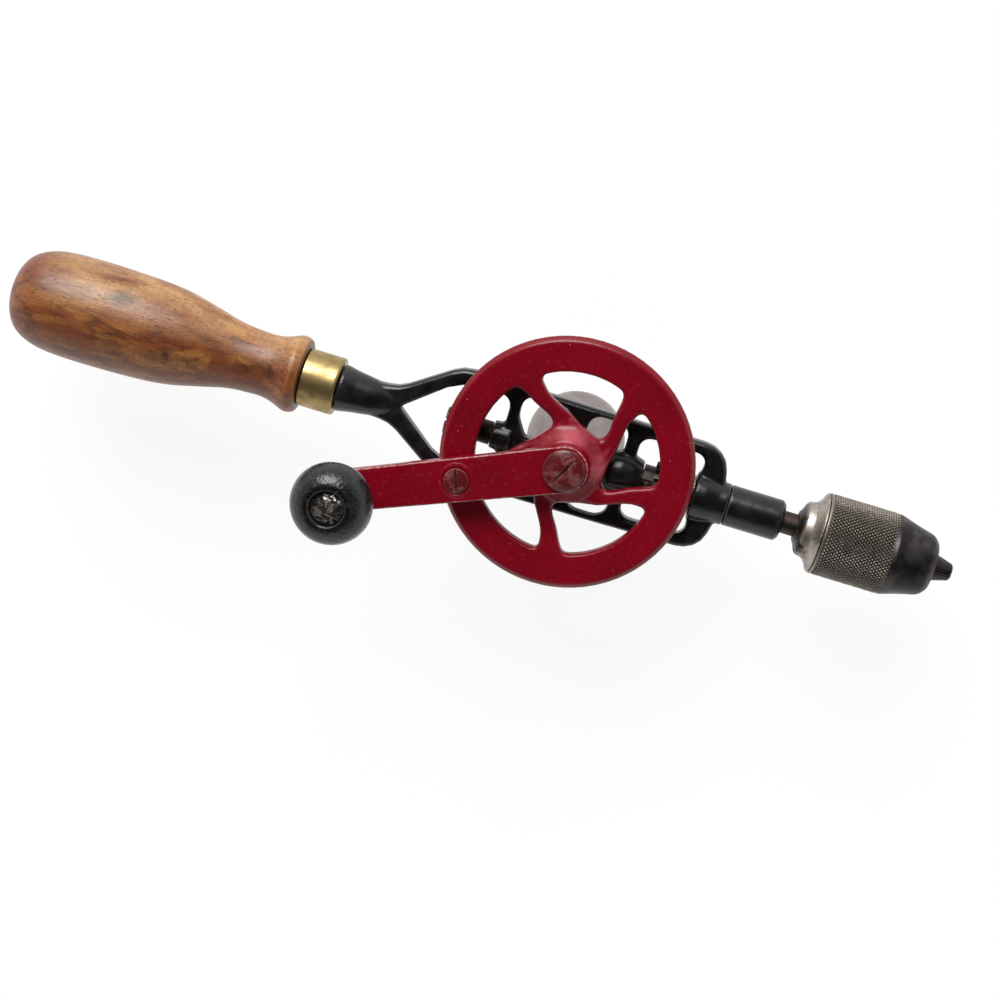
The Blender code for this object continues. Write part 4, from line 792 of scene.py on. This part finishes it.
def soften(piece, grain, rounds, where=None):
    """Rebuilds the surface in even faces of this size and rounds its edges."""
    remesh = piece.modifiers.new("even", "REMESH")
    remesh.mode = "VOXEL"
    remesh.voxel_size = grain
    settle(piece)
    relax(piece, rounds, where)


def relax(piece, rounds, where=None):
    """Smooths the mesh, or only its points for which where(places) is true."""
    smooth = piece.modifiers.new("round", "SMOOTH")
    smooth.factor = 0.5
    smooth.iterations = rounds
    if where:
        places = np.empty(len(piece.data.vertices) * 3)
        piece.data.vertices.foreach_get("co", places)
        group = piece.vertex_groups.new(name="soft")
        chosen_points = np.flatnonzero(where(places.reshape(-1, 3)))
        group.add(chosen_points.tolist(), 1.0, "REPLACE")
        smooth.vertex_group = group.name
    settle(piece)
    piece.vertex_groups.clear()
    piece.data.shade_smooth()


def copy_node(node, name):
    """A new piece from a merged copy of a solid's mesh."""
    work = bmesh.new()
    work.from_mesh(frame["nodes"][node].data)
    bmesh.ops.remove_doubles(work, verts=work.verts, dist=MERGE)
    return new_piece(name, work)


def mark_wear(piece, reach):
    """Stores how sharply the surface bends out (proud) and in (sunk), for the finishes.

    reach is the radius of bend, in metres, that counts as a full edge.
    """
    mesh = piece.data
    count = len(mesh.vertices)
    places, normals = np.empty(count * 3), np.empty(count * 3)
    mesh.vertices.foreach_get("co", places)
    mesh.vertices.foreach_get("normal", normals)
    places, normals = places.reshape(-1, 3), normals.reshape(-1, 3)
    edges = np.empty(len(mesh.edges) * 2, int)
    mesh.edges.foreach_get("vertices", edges)
    start, stop = edges.reshape(-1, 2).T
    across = places[stop] - places[start]
    size = np.maximum((across ** 2).sum(1), ON_AXIS ** 2)
    bend, links = np.zeros(count), np.zeros(count)
    np.add.at(bend, start, -(across * normals[start]).sum(1) / size)
    np.add.at(bend, stop, (across * normals[stop]).sum(1) / size)
    np.add.at(links, start, 1)
    np.add.at(links, stop, 1)
    links = np.maximum(links, 1)
    bend = bend / links * 2
    # Two rounds of averaging over the neighbours take out the noise of single faces
    for _ in range(2):
        total = np.zeros(count)
        np.add.at(total, start, bend[stop])
        np.add.at(total, stop, bend[start])
        bend = (bend + total / links) / 2
    for name, value in (("proud", bend), ("sunk", -bend)):
        store = mesh.attributes.new(name, "FLOAT", "POINT")
        store.data.foreach_set("value", np.clip(value * reach, 0, 1).astype(np.float32))


def hand_over(piece, body, maker, node, reach=None):
    """Gives the piece its finish and its body, and lets it stand for its solid.

    reach is the radius of bend at which its edges wear, for a finish that shows them worn.
    """
    if reach:
        mark_wear(piece, reach)
    piece.data.materials.clear()
    piece.data.materials.append(finish(maker))
    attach(piece, body)
    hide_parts(node)


# Pieces


def make_handle():
    """The turned handle with its tenon and the bore for the tang."""
    low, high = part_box("handle")
    ferrule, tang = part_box("handle_ferrule"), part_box("handle_tang")
    front, tenon = ferrule[0].x - GAP, ferrule[1].y - FERRULE_WALL - GAP
    bore, floor = tang[1].y + GAP, tang[0].x - GAP
    grip = scaled(curve_through(HANDLE_SHARES), high.y, low.x, front - low.x)
    outline = [(0, floor), (bore, floor), (bore, high.x), (tenon, high.x), (tenon, front), *grip]
    piece = turned("beech_handle", outline, ALONG_X)
    hand_over(piece, "frame", varnished_beech, "handle", 0.004)


def make_ferrule():
    """The brass cup over the tenon, with a rounded front edge."""
    low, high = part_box("handle_ferrule")
    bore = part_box("handle_tang")[1].y + GAP
    radius, room, floor = high.y, high.y - FERRULE_WALL, high.x - FERRULE_WALL
    outline = [(bore, high.x), (radius, high.x), (radius, low.x), (room, low.x), (room, floor),
               (bore, floor)]
    piece = turned("brass_ferrule", eased(outline, FERRULE_WALL, closed=True), ALONG_X,
                   step=0.0006, closed=True)
    hand_over(piece, "frame", satin_brass, "handle_ferrule", 0.001)


def make_frame_casting():
    """The iron frame, with the soft edges and fillets of a sand casting."""
    shape = chosen().shape
    piece = copy_node("frame", "iron_frame")
    # The turned end in the sleeve, and this much behind it, keeps its crisp shape
    crisp = 0.0014
    turned_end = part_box("bearing_sleeve")[0].x - crisp
    soften(piece, shape.cast_grain, shape.cast_rounds, lambda at: at[:, 0] < turned_end)
    relax(piece, 1)
    hand_over(piece, "frame", black_enamel, "frame", 0.0012)


def make_sleeve():
    """The nose sleeve round the spindle."""
    low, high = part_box("bearing_sleeve")
    radius, wall, chamfer, bearing = high.y, 0.001, 0.0012, 0.0055
    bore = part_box("spindle")[1].y + GAP
    room = high.x - bearing
    outline = [(radius - chamfer, high.x), (radius, high.x - chamfer), (radius, low.x),
               (radius - wall, low.x), (radius - wall, room), (bore, room), (bore, high.x)]
    piece = turned("nose_sleeve", eased(outline, 0.0004, closed=True), ALONG_X, closed=True)
    hand_over(piece, "frame", black_enamel, "bearing_sleeve", 0.0012)


def wheel_ring(inner, outer, depth):
    """A test of which places lie between two radii of the wheel, and no deeper than this."""
    def inside(at):
        reach = np.hypot(at[:, 0] - AXIS.x, at[:, 1] - AXIS.y)
        return (reach > inner) & (reach < outer) & (at[:, 2] > HUB_TOP - depth)

    return inside


def make_wheel():
    """The toothed drive wheel, cast in one with its spokes and hub."""
    shape = chosen().shape
    piece = copy_node("drive_wheel", "drive_wheel_casting")
    # The teeth need slightly finer faces and less rounding than the frame
    finer, fewer = 0.95, 3
    soften(piece, shape.cast_grain * finer, shape.cast_rounds - fewer)
    for rounds, *ring in WHEEL_ROUNDING:
        relax(piece, rounds, wheel_ring(*ring))
    relax(piece, 2)
    hand_over(piece, "drive_wheel", red_enamel, "drive_wheel", 0.0007)


def arm_plate(long, hub, tip, low, high):
    """The crank's flat bar along X, from the round end at the hub to the one at the knob."""
    lean = math.acos((hub - tip) / long)
    rest = math.tau - 2 * lean
    steps = 32
    ring = [(x + radius * math.cos(a), radius * math.sin(a))
            for x, radius, start, sweep in ((long, tip, -lean, 2 * lean), (0, hub, lean, rest))
            for a in (start + sweep * index / steps for index in range(steps + 1))]
    work = bmesh.new()
    base = work.faces.new([work.verts.new((x, y, low)) for x, y in ring])
    top = bmesh.ops.extrude_face_region(work, geom=[base])["geom"]
    raised = [item for item in top if isinstance(item, bmesh.types.BMVert)]
    bmesh.ops.translate(work, verts=raised, vec=(0, 0, high - low))
    bmesh.ops.recalc_face_normals(work, faces=work.faces)
    return new_piece("crank_bar", work)


def make_crank():
    """The crank arm with the boss under its small screw and the ring of paint round it."""
    hub_end, knob_end, thickness, boss = 0.0079, 0.0071, 0.0039, 0.0056
    axle_hole, screw_hole = 0.0053, 0.0022
    paint_ring = ((0.005, -0.0005), (0.00515, 0.00035), (0.0058, 0.00035), (0.006, -0.0005))
    # How far a cutting tool reaches past the arm, and the boss into it
    past, into = 0.01, 0.001
    low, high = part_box("crank_arm")
    reach = KNOB_AXIS - AXIS
    long = reach.to_2d().length
    screw_low, screw_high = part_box("arm_screw")
    screw = ((screw_low + screw_high) / 2 - AXIS).to_2d().length
    under, top = low.z - AXIS.z, high.z - AXIS.z
    bottom = top - thickness
    at_hub, at_screw, at_knob = (Matrix.Translation((x, 0, 0)) for x in (0, screw, long))
    piece = arm_plate(long, hub_end, knob_end, bottom, top)
    carve(piece, rod(boss, under, bottom + into, at_screw), "UNION")
    ring = [(radius, top + height) for radius, height in paint_ring]
    carve(piece, turned("tool", ring, at_screw, step=1.0, closed=True, steps=72), "UNION")
    carve(piece, rod(axle_hole, bottom - past, top + past, at_hub))
    carve(piece, rod(screw_hole, under - past, top + past, at_screw))
    carve(piece, rod(RIVET_HOLE, bottom - past, top + past, at_knob))
    soften(piece, chosen().shape.plate_grain, 3)
    piece.data.transform(ALONG_Z @ Matrix.Rotation(math.atan2(reach.y, reach.x), 4, "Z"))
    hand_over(piece, "drive_wheel", red_enamel, "crank_arm", 0.001)


def make_screw(name, node, body, radius, shank, head, dome, slot_width, slot_depth, slot_deg):
    """A slotted screw with a slightly domed head."""
    low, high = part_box(node)
    middle = (low + high) / 2
    top, under = high.z, high.z - head
    place = Matrix.Translation((middle.x, middle.y, 0))
    # The dome falls off with this power of the radius, and the rounded edge starts at this share
    power, edge, edge_drop = 2.6, 0.85, 0.66
    rounding = head * 0.4
    crown = [(radius * share, top - dome * share ** power) for share in (0, 0.25, 0.5, 0.7, edge)]
    rim = eased([(radius * edge, top - dome * edge_drop), (radius, top - dome), (radius, under),
                 (shank, under)], rounding)
    outline = [*crown, *rim[1:], (shank, low.z), (0, low.z)]
    piece = turned(name, outline, place, steps=96)
    turn = Matrix.Rotation(math.radians(slot_deg), 4, "Z")
    # The bar that cuts the slot is half sunk, and longer than the head is wide
    cutter = bar((radius * 2.4, slot_width, slot_depth * 2), (0, 0, top), place @ turn)
    carve(piece, cutter)
    soften(piece, chosen().shape.screw_grain, 2)
    hand_over(piece, body, painted_screw, node, 0.0005)


def make_screws():
    """The hub screw and the arm screw."""
    make_screw("slotted_hub_screw", "hub_screw", "frame", radius=0.0071, shank=0.0026,
               head=0.0024, dome=0.0013, slot_width=0.0009, slot_depth=0.0006, slot_deg=62.0)
    make_screw("slotted_arm_screw", "arm_screw", "drive_wheel", radius=0.0042, shank=0.0019,
               head=0.0009, dome=0.0003, slot_width=0.001, slot_depth=0.0005, slot_deg=111.0)


def make_knob():
    """The crank's knob, recessed for its rivet."""
    low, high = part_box("crank_knob")
    place = Matrix.Translation((KNOB_AXIS.x, KNOB_AXIS.y, 0))
    recess, deep = 0.0057, 0.0024
    floor = high.z - deep
    # The recess's lip: how far it is wider than the recess, and how far under the knob's top
    lip = [(recess + wider, high.z - under)
           for wider, under in ((0, 0.001), (0.00012, 0.00045), (0.00035, 0.00012))]
    grip = scaled(curve_through(KNOB_SHARES), (high.y - low.y) / 2, low.z, high.z - low.z)
    outline = [*grip, (RIVET_HOLE, low.z), (RIVET_HOLE, floor), (recess, floor), *lip]
    piece = turned("turned_knob", outline, place, closed=True)
    hand_over(piece, "crank_knob", black_knob, "crank_knob", 0.006)


def make_rivet():
    """The knob's pin with its hammered head."""
    low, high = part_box("knob_pin")
    place = Matrix.Translation((KNOB_AXIS.x, KNOB_AXIS.y, 0))
    radius, head = 0.0054, 0.0014
    under = high.z - head
    # The domed head falls by this share of its height, with this power of the radius
    fall, power = 0.75, 2.4
    crown = [(radius * tenths / 10, high.z - head * fall * (tenths / 10) ** power)
             for tenths in range(11)]
    outline = [*crown, (radius, under), (RIVET_SHANK, under), (RIVET_SHANK, low.z), (0, low.z)]
    piece = turned("hammered_rivet", outline, place, step=0.0003, steps=96)
    dents = bpy.data.textures.new("hammer_dents", "CLOUDS")
    dents.noise_scale = 0.0021
    dents.noise_depth = 2
    push = piece.modifiers.new("dents", "DISPLACE")
    push.texture = dents
    push.texture_coords = "LOCAL"
    push.direction = "Z"
    push.strength = 0.0007
    push.mid_level = 0.85
    settle(piece)
    piece.data.shade_smooth()
    hand_over(piece, "drive_wheel", rusted_rivet, "knob_pin", 0.0008)


def make_spindle():
    """The spindle: its thin journal and the thicker neck in front of the sleeve."""
    low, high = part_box("spindle")
    radius, journal, neck_in_sleeve = high.y, 0.0034, 0.0051
    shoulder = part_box("bearing_sleeve")[1].x - neck_in_sleeve
    outline = [(0, high.x), (radius, high.x), (radius, shoulder), (journal, shoulder),
               (journal, low.x), (0, low.x)]
    piece = turned("spindle_rod", eased(outline, 0.0003), ALONG_X, steps=72)
    hand_over(piece, "spindle", oiled_steel, "spindle", 0.002)


def make_chuck_body():
    """The chuck's body: the bright collar behind and the part that carries the shell."""
    low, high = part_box("chuck_body")
    spindle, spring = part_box("spindle")[1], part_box("jaw_spring")
    bore, floor = spindle.y + GAP, spindle.x + GAP
    well, pocket = spring[1].y + GAP, spring[0].x - GAP
    outline = [(0, pocket), (well, pocket), (well, high.x),
               (THREAD_RADIUS, high.x), (THREAD_RADIUS, low.x + COLLAR_LENGTH),
               *scaled(COLLAR_SHARES, COLLAR_RADIUS, low.x, COLLAR_LENGTH),
               (bore, low.x), (bore, floor), (0, floor)]
    piece = turned("chuck_collar", eased(outline, 0.0004), ALONG_X)
    # The small hole in the collar: its radius, its depth with how far its cutter stands out, its
    # place as a share of the collar's length, and its angle round the axis
    hole, deep, past, along, lean = 0.0013, 0.0026, 0.002, 0.3, math.radians(70)
    place = (Matrix.Translation((low.x + COLLAR_LENGTH * along, 0, AXIS.z))
             @ Matrix.Rotation(lean, 4, "X"))
    carve(piece, rod(hole, COLLAR_RADIUS - deep, COLLAR_RADIUS + past, place))
    piece.data.shade_smooth()
    piece.data.set_sharp_from_angle(angle=math.radians(40))
    hand_over(piece, "spindle", collar_steel, "chuck_body", 0.0016)


def knurl_tree():
    """Geometry nodes that set rows of small pyramids round a shell and keep the shell."""
    tree = bpy.data.node_groups.new("knurl", "GeometryNodeTree")
    kinds = {
        "Geometry": ("Shell",), "Int": ("Around", "Rows", "Seed"), "Vector": ("Axis",),
        "Float": ("Start", "Row Step", "Radius", "Front Radius", "Taper Start", "Taper Stop",
                  "Height", "Half Width"),
        "Material": ("Finish",),
    }
    sockets = {}
    for kind, names in kinds.items():
        for name in names:
            socket = tree.interface.new_socket(
                name, in_out="INPUT", socket_type="NodeSocket" + kind)
            sockets[name] = socket.identifier
    tree.interface.new_socket("Knurled", in_out="OUTPUT", socket_type="NodeSocketGeometry")
    given = add_node(tree, "NodeGroupInput").outputs
    made = {name: given[name] for name in sockets}
    made["index"] = add_node(tree, "GeometryNodeInputIndex").outputs[0]
    made["wear"] = add_node(tree, "FunctionNodeRandomValue", {
        "Min": (0.9, 0.9, 0.75), "Max": (1.0, 1.0, 1.0), "Seed": given["Seed"]},
        data_type="FLOAT_VECTOR").outputs[0]
    # Each diamond's place and size, every other row half a diamond on: what each result is
    # called, its kind of node, what goes into it and its operation
    sums = (
        ("count", "Math", {0: "Around", 1: "Rows"}, "MULTIPLY"),
        ("laps", "Math", {0: "index", 1: "Around"}, "DIVIDE"),
        ("row", "Math", {0: "laps"}, "FLOOR"),
        ("odd", "Math", {0: "row", 1: 2.0}, "MODULO"),
        ("half", "Math", {0: "odd", 1: 0.5}, "MULTIPLY"),
        ("number", "Math", {0: "index", 1: "half"}, "ADD"),
        ("lap", "Math", {0: "number", 1: "Around"}, "DIVIDE"),
        ("angle", "Math", {0: "lap", 1: math.tau}, "MULTIPLY"),
        ("along", "Math", {0: "row", 1: "Row Step", 2: "Start"}, "MULTIPLY_ADD"),
        ("shell radius", "MapRange", {
            "Value": "along", "From Min": "Taper Start", "From Max": "Taper Stop",
            "To Min": "Radius", "To Max": "Front Radius"}, None),
        ("radius", "Math", {0: "shell radius", 1: "Height"}, "SUBTRACT"),
        ("sine", "Math", {0: "angle"}, "SINE"),
        ("cosine", "Math", {0: "angle"}, "COSINE"),
        ("right", "Math", {0: "sine", 1: "radius"}, "MULTIPLY"),
        ("left", "Math", {0: "right", 1: -1.0}, "MULTIPLY"),
        ("up", "Math", {0: "cosine", 1: "radius"}, "MULTIPLY"),
        ("ring", "CombineXYZ", {"X": "along", "Y": "left", "Z": "up"}, None),
        ("place", "VectorMath", {0: "ring", 1: "Axis"}, "ADD"),
        ("turn", "CombineXYZ", {"X": "angle"}, None),
        ("size", "CombineXYZ", {"X": "Row Step", "Y": "Half Width", "Z": "Height"}, None),
        ("scale", "VectorMath", {0: "size", 1: "wear"}, "MULTIPLY"),
    )
    for name, kind, terms, operation in sums:
        inputs = {socket: made.get(term, term) for socket, term in terms.items()}
        settings = {"operation": operation} if operation else {}
        made[name] = add_node(tree, "ShaderNode" + kind, inputs, **settings).outputs[0]
    points = add_node(tree, "GeometryNodePoints", {"Count": made["count"]})
    placed = add_node(tree, "GeometryNodeSetPosition", {
        "Geometry": points.outputs[0], "Position": made["place"]})
    diamond = add_node(tree, "GeometryNodeMeshCone", {
        "Vertices": 4, "Radius Top": 0.3, "Radius Bottom": 1.12, "Depth": 1.0})
    marked = diamond.outputs["Mesh"]
    for name, value in (("tip", diamond.outputs["Top"]), ("band", 1.0)):
        marked = add_node(tree, "GeometryNodeStoreNamedAttribute", {
            "Geometry": marked, "Name": name, "Value": value},
            data_type="FLOAT", domain="POINT").outputs[0]
    copies = add_node(tree, "GeometryNodeInstanceOnPoints", {
        "Points": placed.outputs[0], "Instance": marked, "Rotation": made["turn"],
        "Scale": made["scale"]})
    joined = add_node(tree, "GeometryNodeJoinGeometry")
    tree.links.new(given["Shell"], joined.inputs[0])
    tree.links.new(copies.outputs[0], joined.inputs[0])
    real = add_node(tree, "GeometryNodeRealizeInstances", {"Geometry": joined.outputs[0]})
    dressed = add_node(tree, "GeometryNodeSetMaterial", {
        "Geometry": real.outputs[0], "Material": given["Finish"]})
    output = add_node(tree, "NodeGroupOutput")
    tree.links.new(dressed.outputs[0], output.inputs[0])
    return tree, sockets


def make_shell():
    """The chuck's shell: a smooth tapered nose, a knurled band and a bead behind it."""
    shape = chosen().shape
    low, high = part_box("chuck_shell")
    long, radius = high.x - low.x, high.y
    # The nose's opening as a share of the radius, and how deep the diamonds stand in the shell
    mouth, sunk = 0.35, 0.00005
    bore = THREAD_RADIUS + GAP
    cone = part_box("chuck_body")[1].x + GAP
    root = radius - shape.knurl_depth
    taper, back, front = (low.x + long * share for share in (FADE_START, BAND_BACK, BAND_FRONT))
    nose = scaled(curve_through(NOSE_SHARES, 4), radius, low.x, long)
    bead = scaled(BEAD_SHARES, radius, low.x, long)
    outline = [(mouth * radius, high.x), *nose, (root, taper), (root, back), *bead,
               (bore, low.x), (bore, cone)]
    piece = turned("chuck_shell_turned", eased(outline, 0.0004, closed=True), ALONG_X, closed=True)
    row_step = shape.knurl_length / 2
    tree, sockets = knurl_tree()
    knurl = piece.modifiers.new("knurl", "NODES")
    knurl.node_group = tree
    values = {
        "Around": round(math.tau * radius / shape.knurl_pitch),
        "Rows": int((long * (BAND_FRONT - BAND_BACK) - row_step) / row_step),
        "Start": back + row_step, "Row Step": row_step, "Radius": radius,
        "Front Radius": radius * BAND_NARROW, "Taper Start": taper, "Taper Stop": front,
        "Height": shape.knurl_depth + sunk, "Half Width": shape.knurl_pitch / 2,
        "Axis": (0, 0, AXIS.z), "Seed": 4, "Finish": finish(knurled_steel),
    }
    for name, value in values.items():
        knurl[sockets[name]] = value
    settle(piece)
    hand_over(piece, "chuck_shell", knurled_steel, "chuck_shell")


def make_side_handle():
    """The far side's turned handle, with the hole for its stud and a hollowed foot."""
    low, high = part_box("side_handle")
    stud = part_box("side_handle_stud")
    radius, bore, floor = high.y, stud[1].y + GAP, stud[0].z - GAP
    # The foot's inner edge and its hollow, as shares of the radius, and how deep the hollow is
    edge, hollow, deep = 0.7, 0.66, 0.0006
    grip = scaled(curve_through(SIDE_HANDLE_SHARES), radius, low.z, high.z - low.z)
    outline = [(0, floor), (bore, floor), (bore, high.z), *grip, (radius * edge, low.z),
               (radius * hollow, low.z + deep), (0, low.z + deep)]
    piece = turned("turned_side_handle", outline, Matrix.Identity(4))
    hand_over(piece, "frame", satin_aluminium, "side_handle", 0.003)


# The solids that are shown as they are, and their finishes
PLAIN_NODES = {
    "wheel_bush": satin_brass, "wheel_axle": oiled_steel, "spindle_pinion": oiled_steel,
    "pinion_pin": turned_steel, "thrust_washer": turned_steel,
    "rear_spindle_bush": bearing_bronze, "front_spindle_bush": bearing_bronze,
    "idler_pinion": oiled_steel, "idler_stud": oiled_steel, "jaw_spring": turned_steel,
    "chuck_jaw_1": dark_steel, "chuck_jaw_2": dark_steel, "chuck_jaw_3": dark_steel,
    "handle_tang": oiled_steel, "side_handle_stud": oiled_steel,
}


def dress_nodes():
    """Finishes for the solids that are shown as they are."""
    for node, maker in PLAIN_NODES.items():
        for slot in frame["nodes"][node].material_slots:
            slot.material = finish(maker)


# Stage


def add_lamp(name, direction, strength):
    """A far lamp that looks wide from the drill and shines at it from this direction."""
    lamp = bpy.data.lights.new(name, "SUN")
    lamp.energy = strength
    lamp.angle = chosen().stage.spread
    holder = bpy.data.objects.new(name, lamp)
    turn = Vector(direction).to_track_quat("Z", "Y")
    holder.matrix_world = Matrix.Translation(direction) @ turn.to_matrix().to_4x4()
    bpy.context.scene.collection.objects.link(holder)


def make_camera():
    """The camera nearly straight above the drill, turned a little, as the photograph has it."""
    place = Vector((0.0090, 0.1248, 0.6346))
    back = Vector((0.0451, 0.2397, 0.9698)).normalized()
    right = Vector((0.9554, 0.2733, -0.1120))
    right = (right - back * right.dot(back)).normalized()
    turn = Matrix((right, back.cross(right), back)).transposed().to_4x4()
    camera = bpy.data.cameras.new("photo_camera")
    camera.lens = chosen().stage.lens
    camera.clip_start = 0.01
    holder = bpy.data.objects.new("photo_camera", camera)
    holder.matrix_world = Matrix.Translation(place) @ turn
    bpy.context.scene.collection.objects.link(holder)
    bpy.context.scene.camera = holder


def make_floor():
    """A wide plain floor under the side handle."""
    work = bmesh.new()
    bmesh.ops.create_grid(work, x_segments=8, y_segments=8, size=2.5)
    floor = new_piece("floor", work)
    floor.data.materials.append(pale_floor())


def make_room():
    """A white room that is dim overhead, so that flat faces keep their colour."""
    world = bpy.data.worlds.new("soft_room")
    bpy.context.scene.world = world
    world.use_nodes = True
    tree = world.node_tree
    sky = tree.nodes["Background"]
    sky.inputs["Color"].default_value = (1, 1, 1, 1)
    place = add_node(tree, "ShaderNodeTexCoord")
    parts = add_node(tree, "ShaderNodeSeparateXYZ", {"Vector": place.outputs["Generated"]})
    glow = chosen().stage.sky
    # How the room lights the drill, and how the eye and mirrors see it: where it starts to dim
    # and is dimmest, from 0 level with the drill to 1 overhead, with its strengths there
    lighting, seen = (
        add_node(tree, "ShaderNodeMapRange", {
            "Value": parts.outputs["Z"], "From Min": start, "From Max": stop,
            "To Min": bright, "To Max": dim})
        for start, stop, bright, dim in (
            (0.3, 0.85, glow * 2, glow * 0.35), (0.2, 0.65, 1.0, glow * 0.12)))
    shown = add_node(tree, "ShaderNodeMix", {
        0: seen_ray(tree), 2: lighting.outputs["Result"], 3: seen.outputs["Result"]})
    tree.links.new(shown.outputs[0], sky.inputs["Strength"])


def make_stage():
    """The floor, the room, two soft lamps and the camera."""
    stage = chosen().stage
    make_camera()
    make_floor()
    make_room()
    add_lamp("key", (-0.3, 0.74, 0.6), stage.key)
    add_lamp("fill", (0.1, -0.85, 0.5), stage.fill)
    bpy.context.scene.view_settings.view_transform = "Standard"


# Operators, one for each group of pieces


class HANDDRILL_OT_handle(bpy.types.Operator):
    """Makes the wooden handle and its ferrule."""

    bl_idname = "handdrill.handle"
    bl_label = "Handle"

    def execute(self, context):
        make_handle()
        make_ferrule()
        return {"FINISHED"}


class HANDDRILL_OT_frame(bpy.types.Operator):
    """Makes the iron frame and its nose sleeve."""

    bl_idname = "handdrill.frame"
    bl_label = "Frame"

    def execute(self, context):
        make_frame_casting()
        make_sleeve()
        return {"FINISHED"}


class HANDDRILL_OT_wheel(bpy.types.Operator):
    """Makes the drive wheel."""

    bl_idname = "handdrill.wheel"
    bl_label = "Drive wheel"

    def execute(self, context):
        make_wheel()
        return {"FINISHED"}


class HANDDRILL_OT_crank(bpy.types.Operator):
    """Makes the crank arm, its knob and the rivet."""

    bl_idname = "handdrill.crank"
    bl_label = "Crank"

    def execute(self, context):
        make_crank()
        make_knob()
        make_rivet()
        return {"FINISHED"}


class HANDDRILL_OT_screws(bpy.types.Operator):
    """Makes the hub screw and the arm screw."""

    bl_idname = "handdrill.screws"
    bl_label = "Screws"

    def execute(self, context):
        make_screws()
        return {"FINISHED"}


class HANDDRILL_OT_chuck(bpy.types.Operator):
    """Makes the spindle, the chuck's body and its knurled shell."""

    bl_idname = "handdrill.chuck"
    bl_label = "Spindle and chuck"

    def execute(self, context):
        make_spindle()
        make_chuck_body()
        make_shell()
        return {"FINISHED"}


class HANDDRILL_OT_side_handle(bpy.types.Operator):
    """Makes the side handle."""

    bl_idname = "handdrill.side_handle"
    bl_label = "Side handle"

    def execute(self, context):
        make_side_handle()
        return {"FINISHED"}


class HANDDRILL_OT_works(bpy.types.Operator):
    """Finishes the gears, bushes, jaws and other solids that are shown as they are."""

    bl_idname = "handdrill.works"
    bl_label = "Gears and small parts"

    def execute(self, context):
        dress_nodes()
        return {"FINISHED"}


class HANDDRILL_OT_stage(bpy.types.Operator):
    """Sets up the floor, the light and the camera."""

    bl_idname = "handdrill.stage"
    bl_label = "Stage"

    def execute(self, context):
        make_stage()
        return {"FINISHED"}


OPERATORS = (
    HANDDRILL_OT_stage, HANDDRILL_OT_handle, HANDDRILL_OT_frame, HANDDRILL_OT_wheel,
    HANDDRILL_OT_crank, HANDDRILL_OT_screws, HANDDRILL_OT_chuck, HANDDRILL_OT_side_handle,
    HANDDRILL_OT_works,
)


class HANDDRILL_PT_panel(bpy.types.Panel):
    """The drill's settings and the buttons that make its pieces."""

    bl_idname = "HANDDRILL_PT_panel"
    bl_label = "Hand Drill"
    bl_space_type = "VIEW_3D"
    bl_region_type = "UI"
    bl_category = "Hand Drill"

    def draw(self, context):
        for group in ("paint", "wood", "metal", "shape", "stage"):
            box = self.layout.box()
            box.label(text=group.capitalize())
            settings = getattr(context.scene.hand_drill, group)
            for name in settings.__annotations__:
                box.prop(settings, name)
        for operator in OPERATORS:
            self.layout.operator(operator.bl_idname)


CLASSES = (
    HANDDRILL_PG_paint, HANDDRILL_PG_wood, HANDDRILL_PG_metal, HANDDRILL_PG_shape,
    HANDDRILL_PG_stage, HANDDRILL_PG_settings, *OPERATORS, HANDDRILL_PT_panel,
)


def register():
    """Adds the settings, the operators and the panel."""
    for item in CLASSES:
        bpy.utils.register_class(item)
    bpy.types.Scene.hand_drill = bpy.props.PointerProperty(type=HANDDRILL_PG_settings)


def unregister():
    """Takes them away again."""
    del bpy.types.Scene.hand_drill
    for item in reversed(CLASSES):
        bpy.utils.unregister_class(item)


def main():
    """Makes the stage and all pieces."""
    register()
    for operator in OPERATORS:
        group, name = operator.bl_idname.split(".")
        getattr(getattr(bpy.ops, group), name)()


if __name__ == "__main__":
    main()
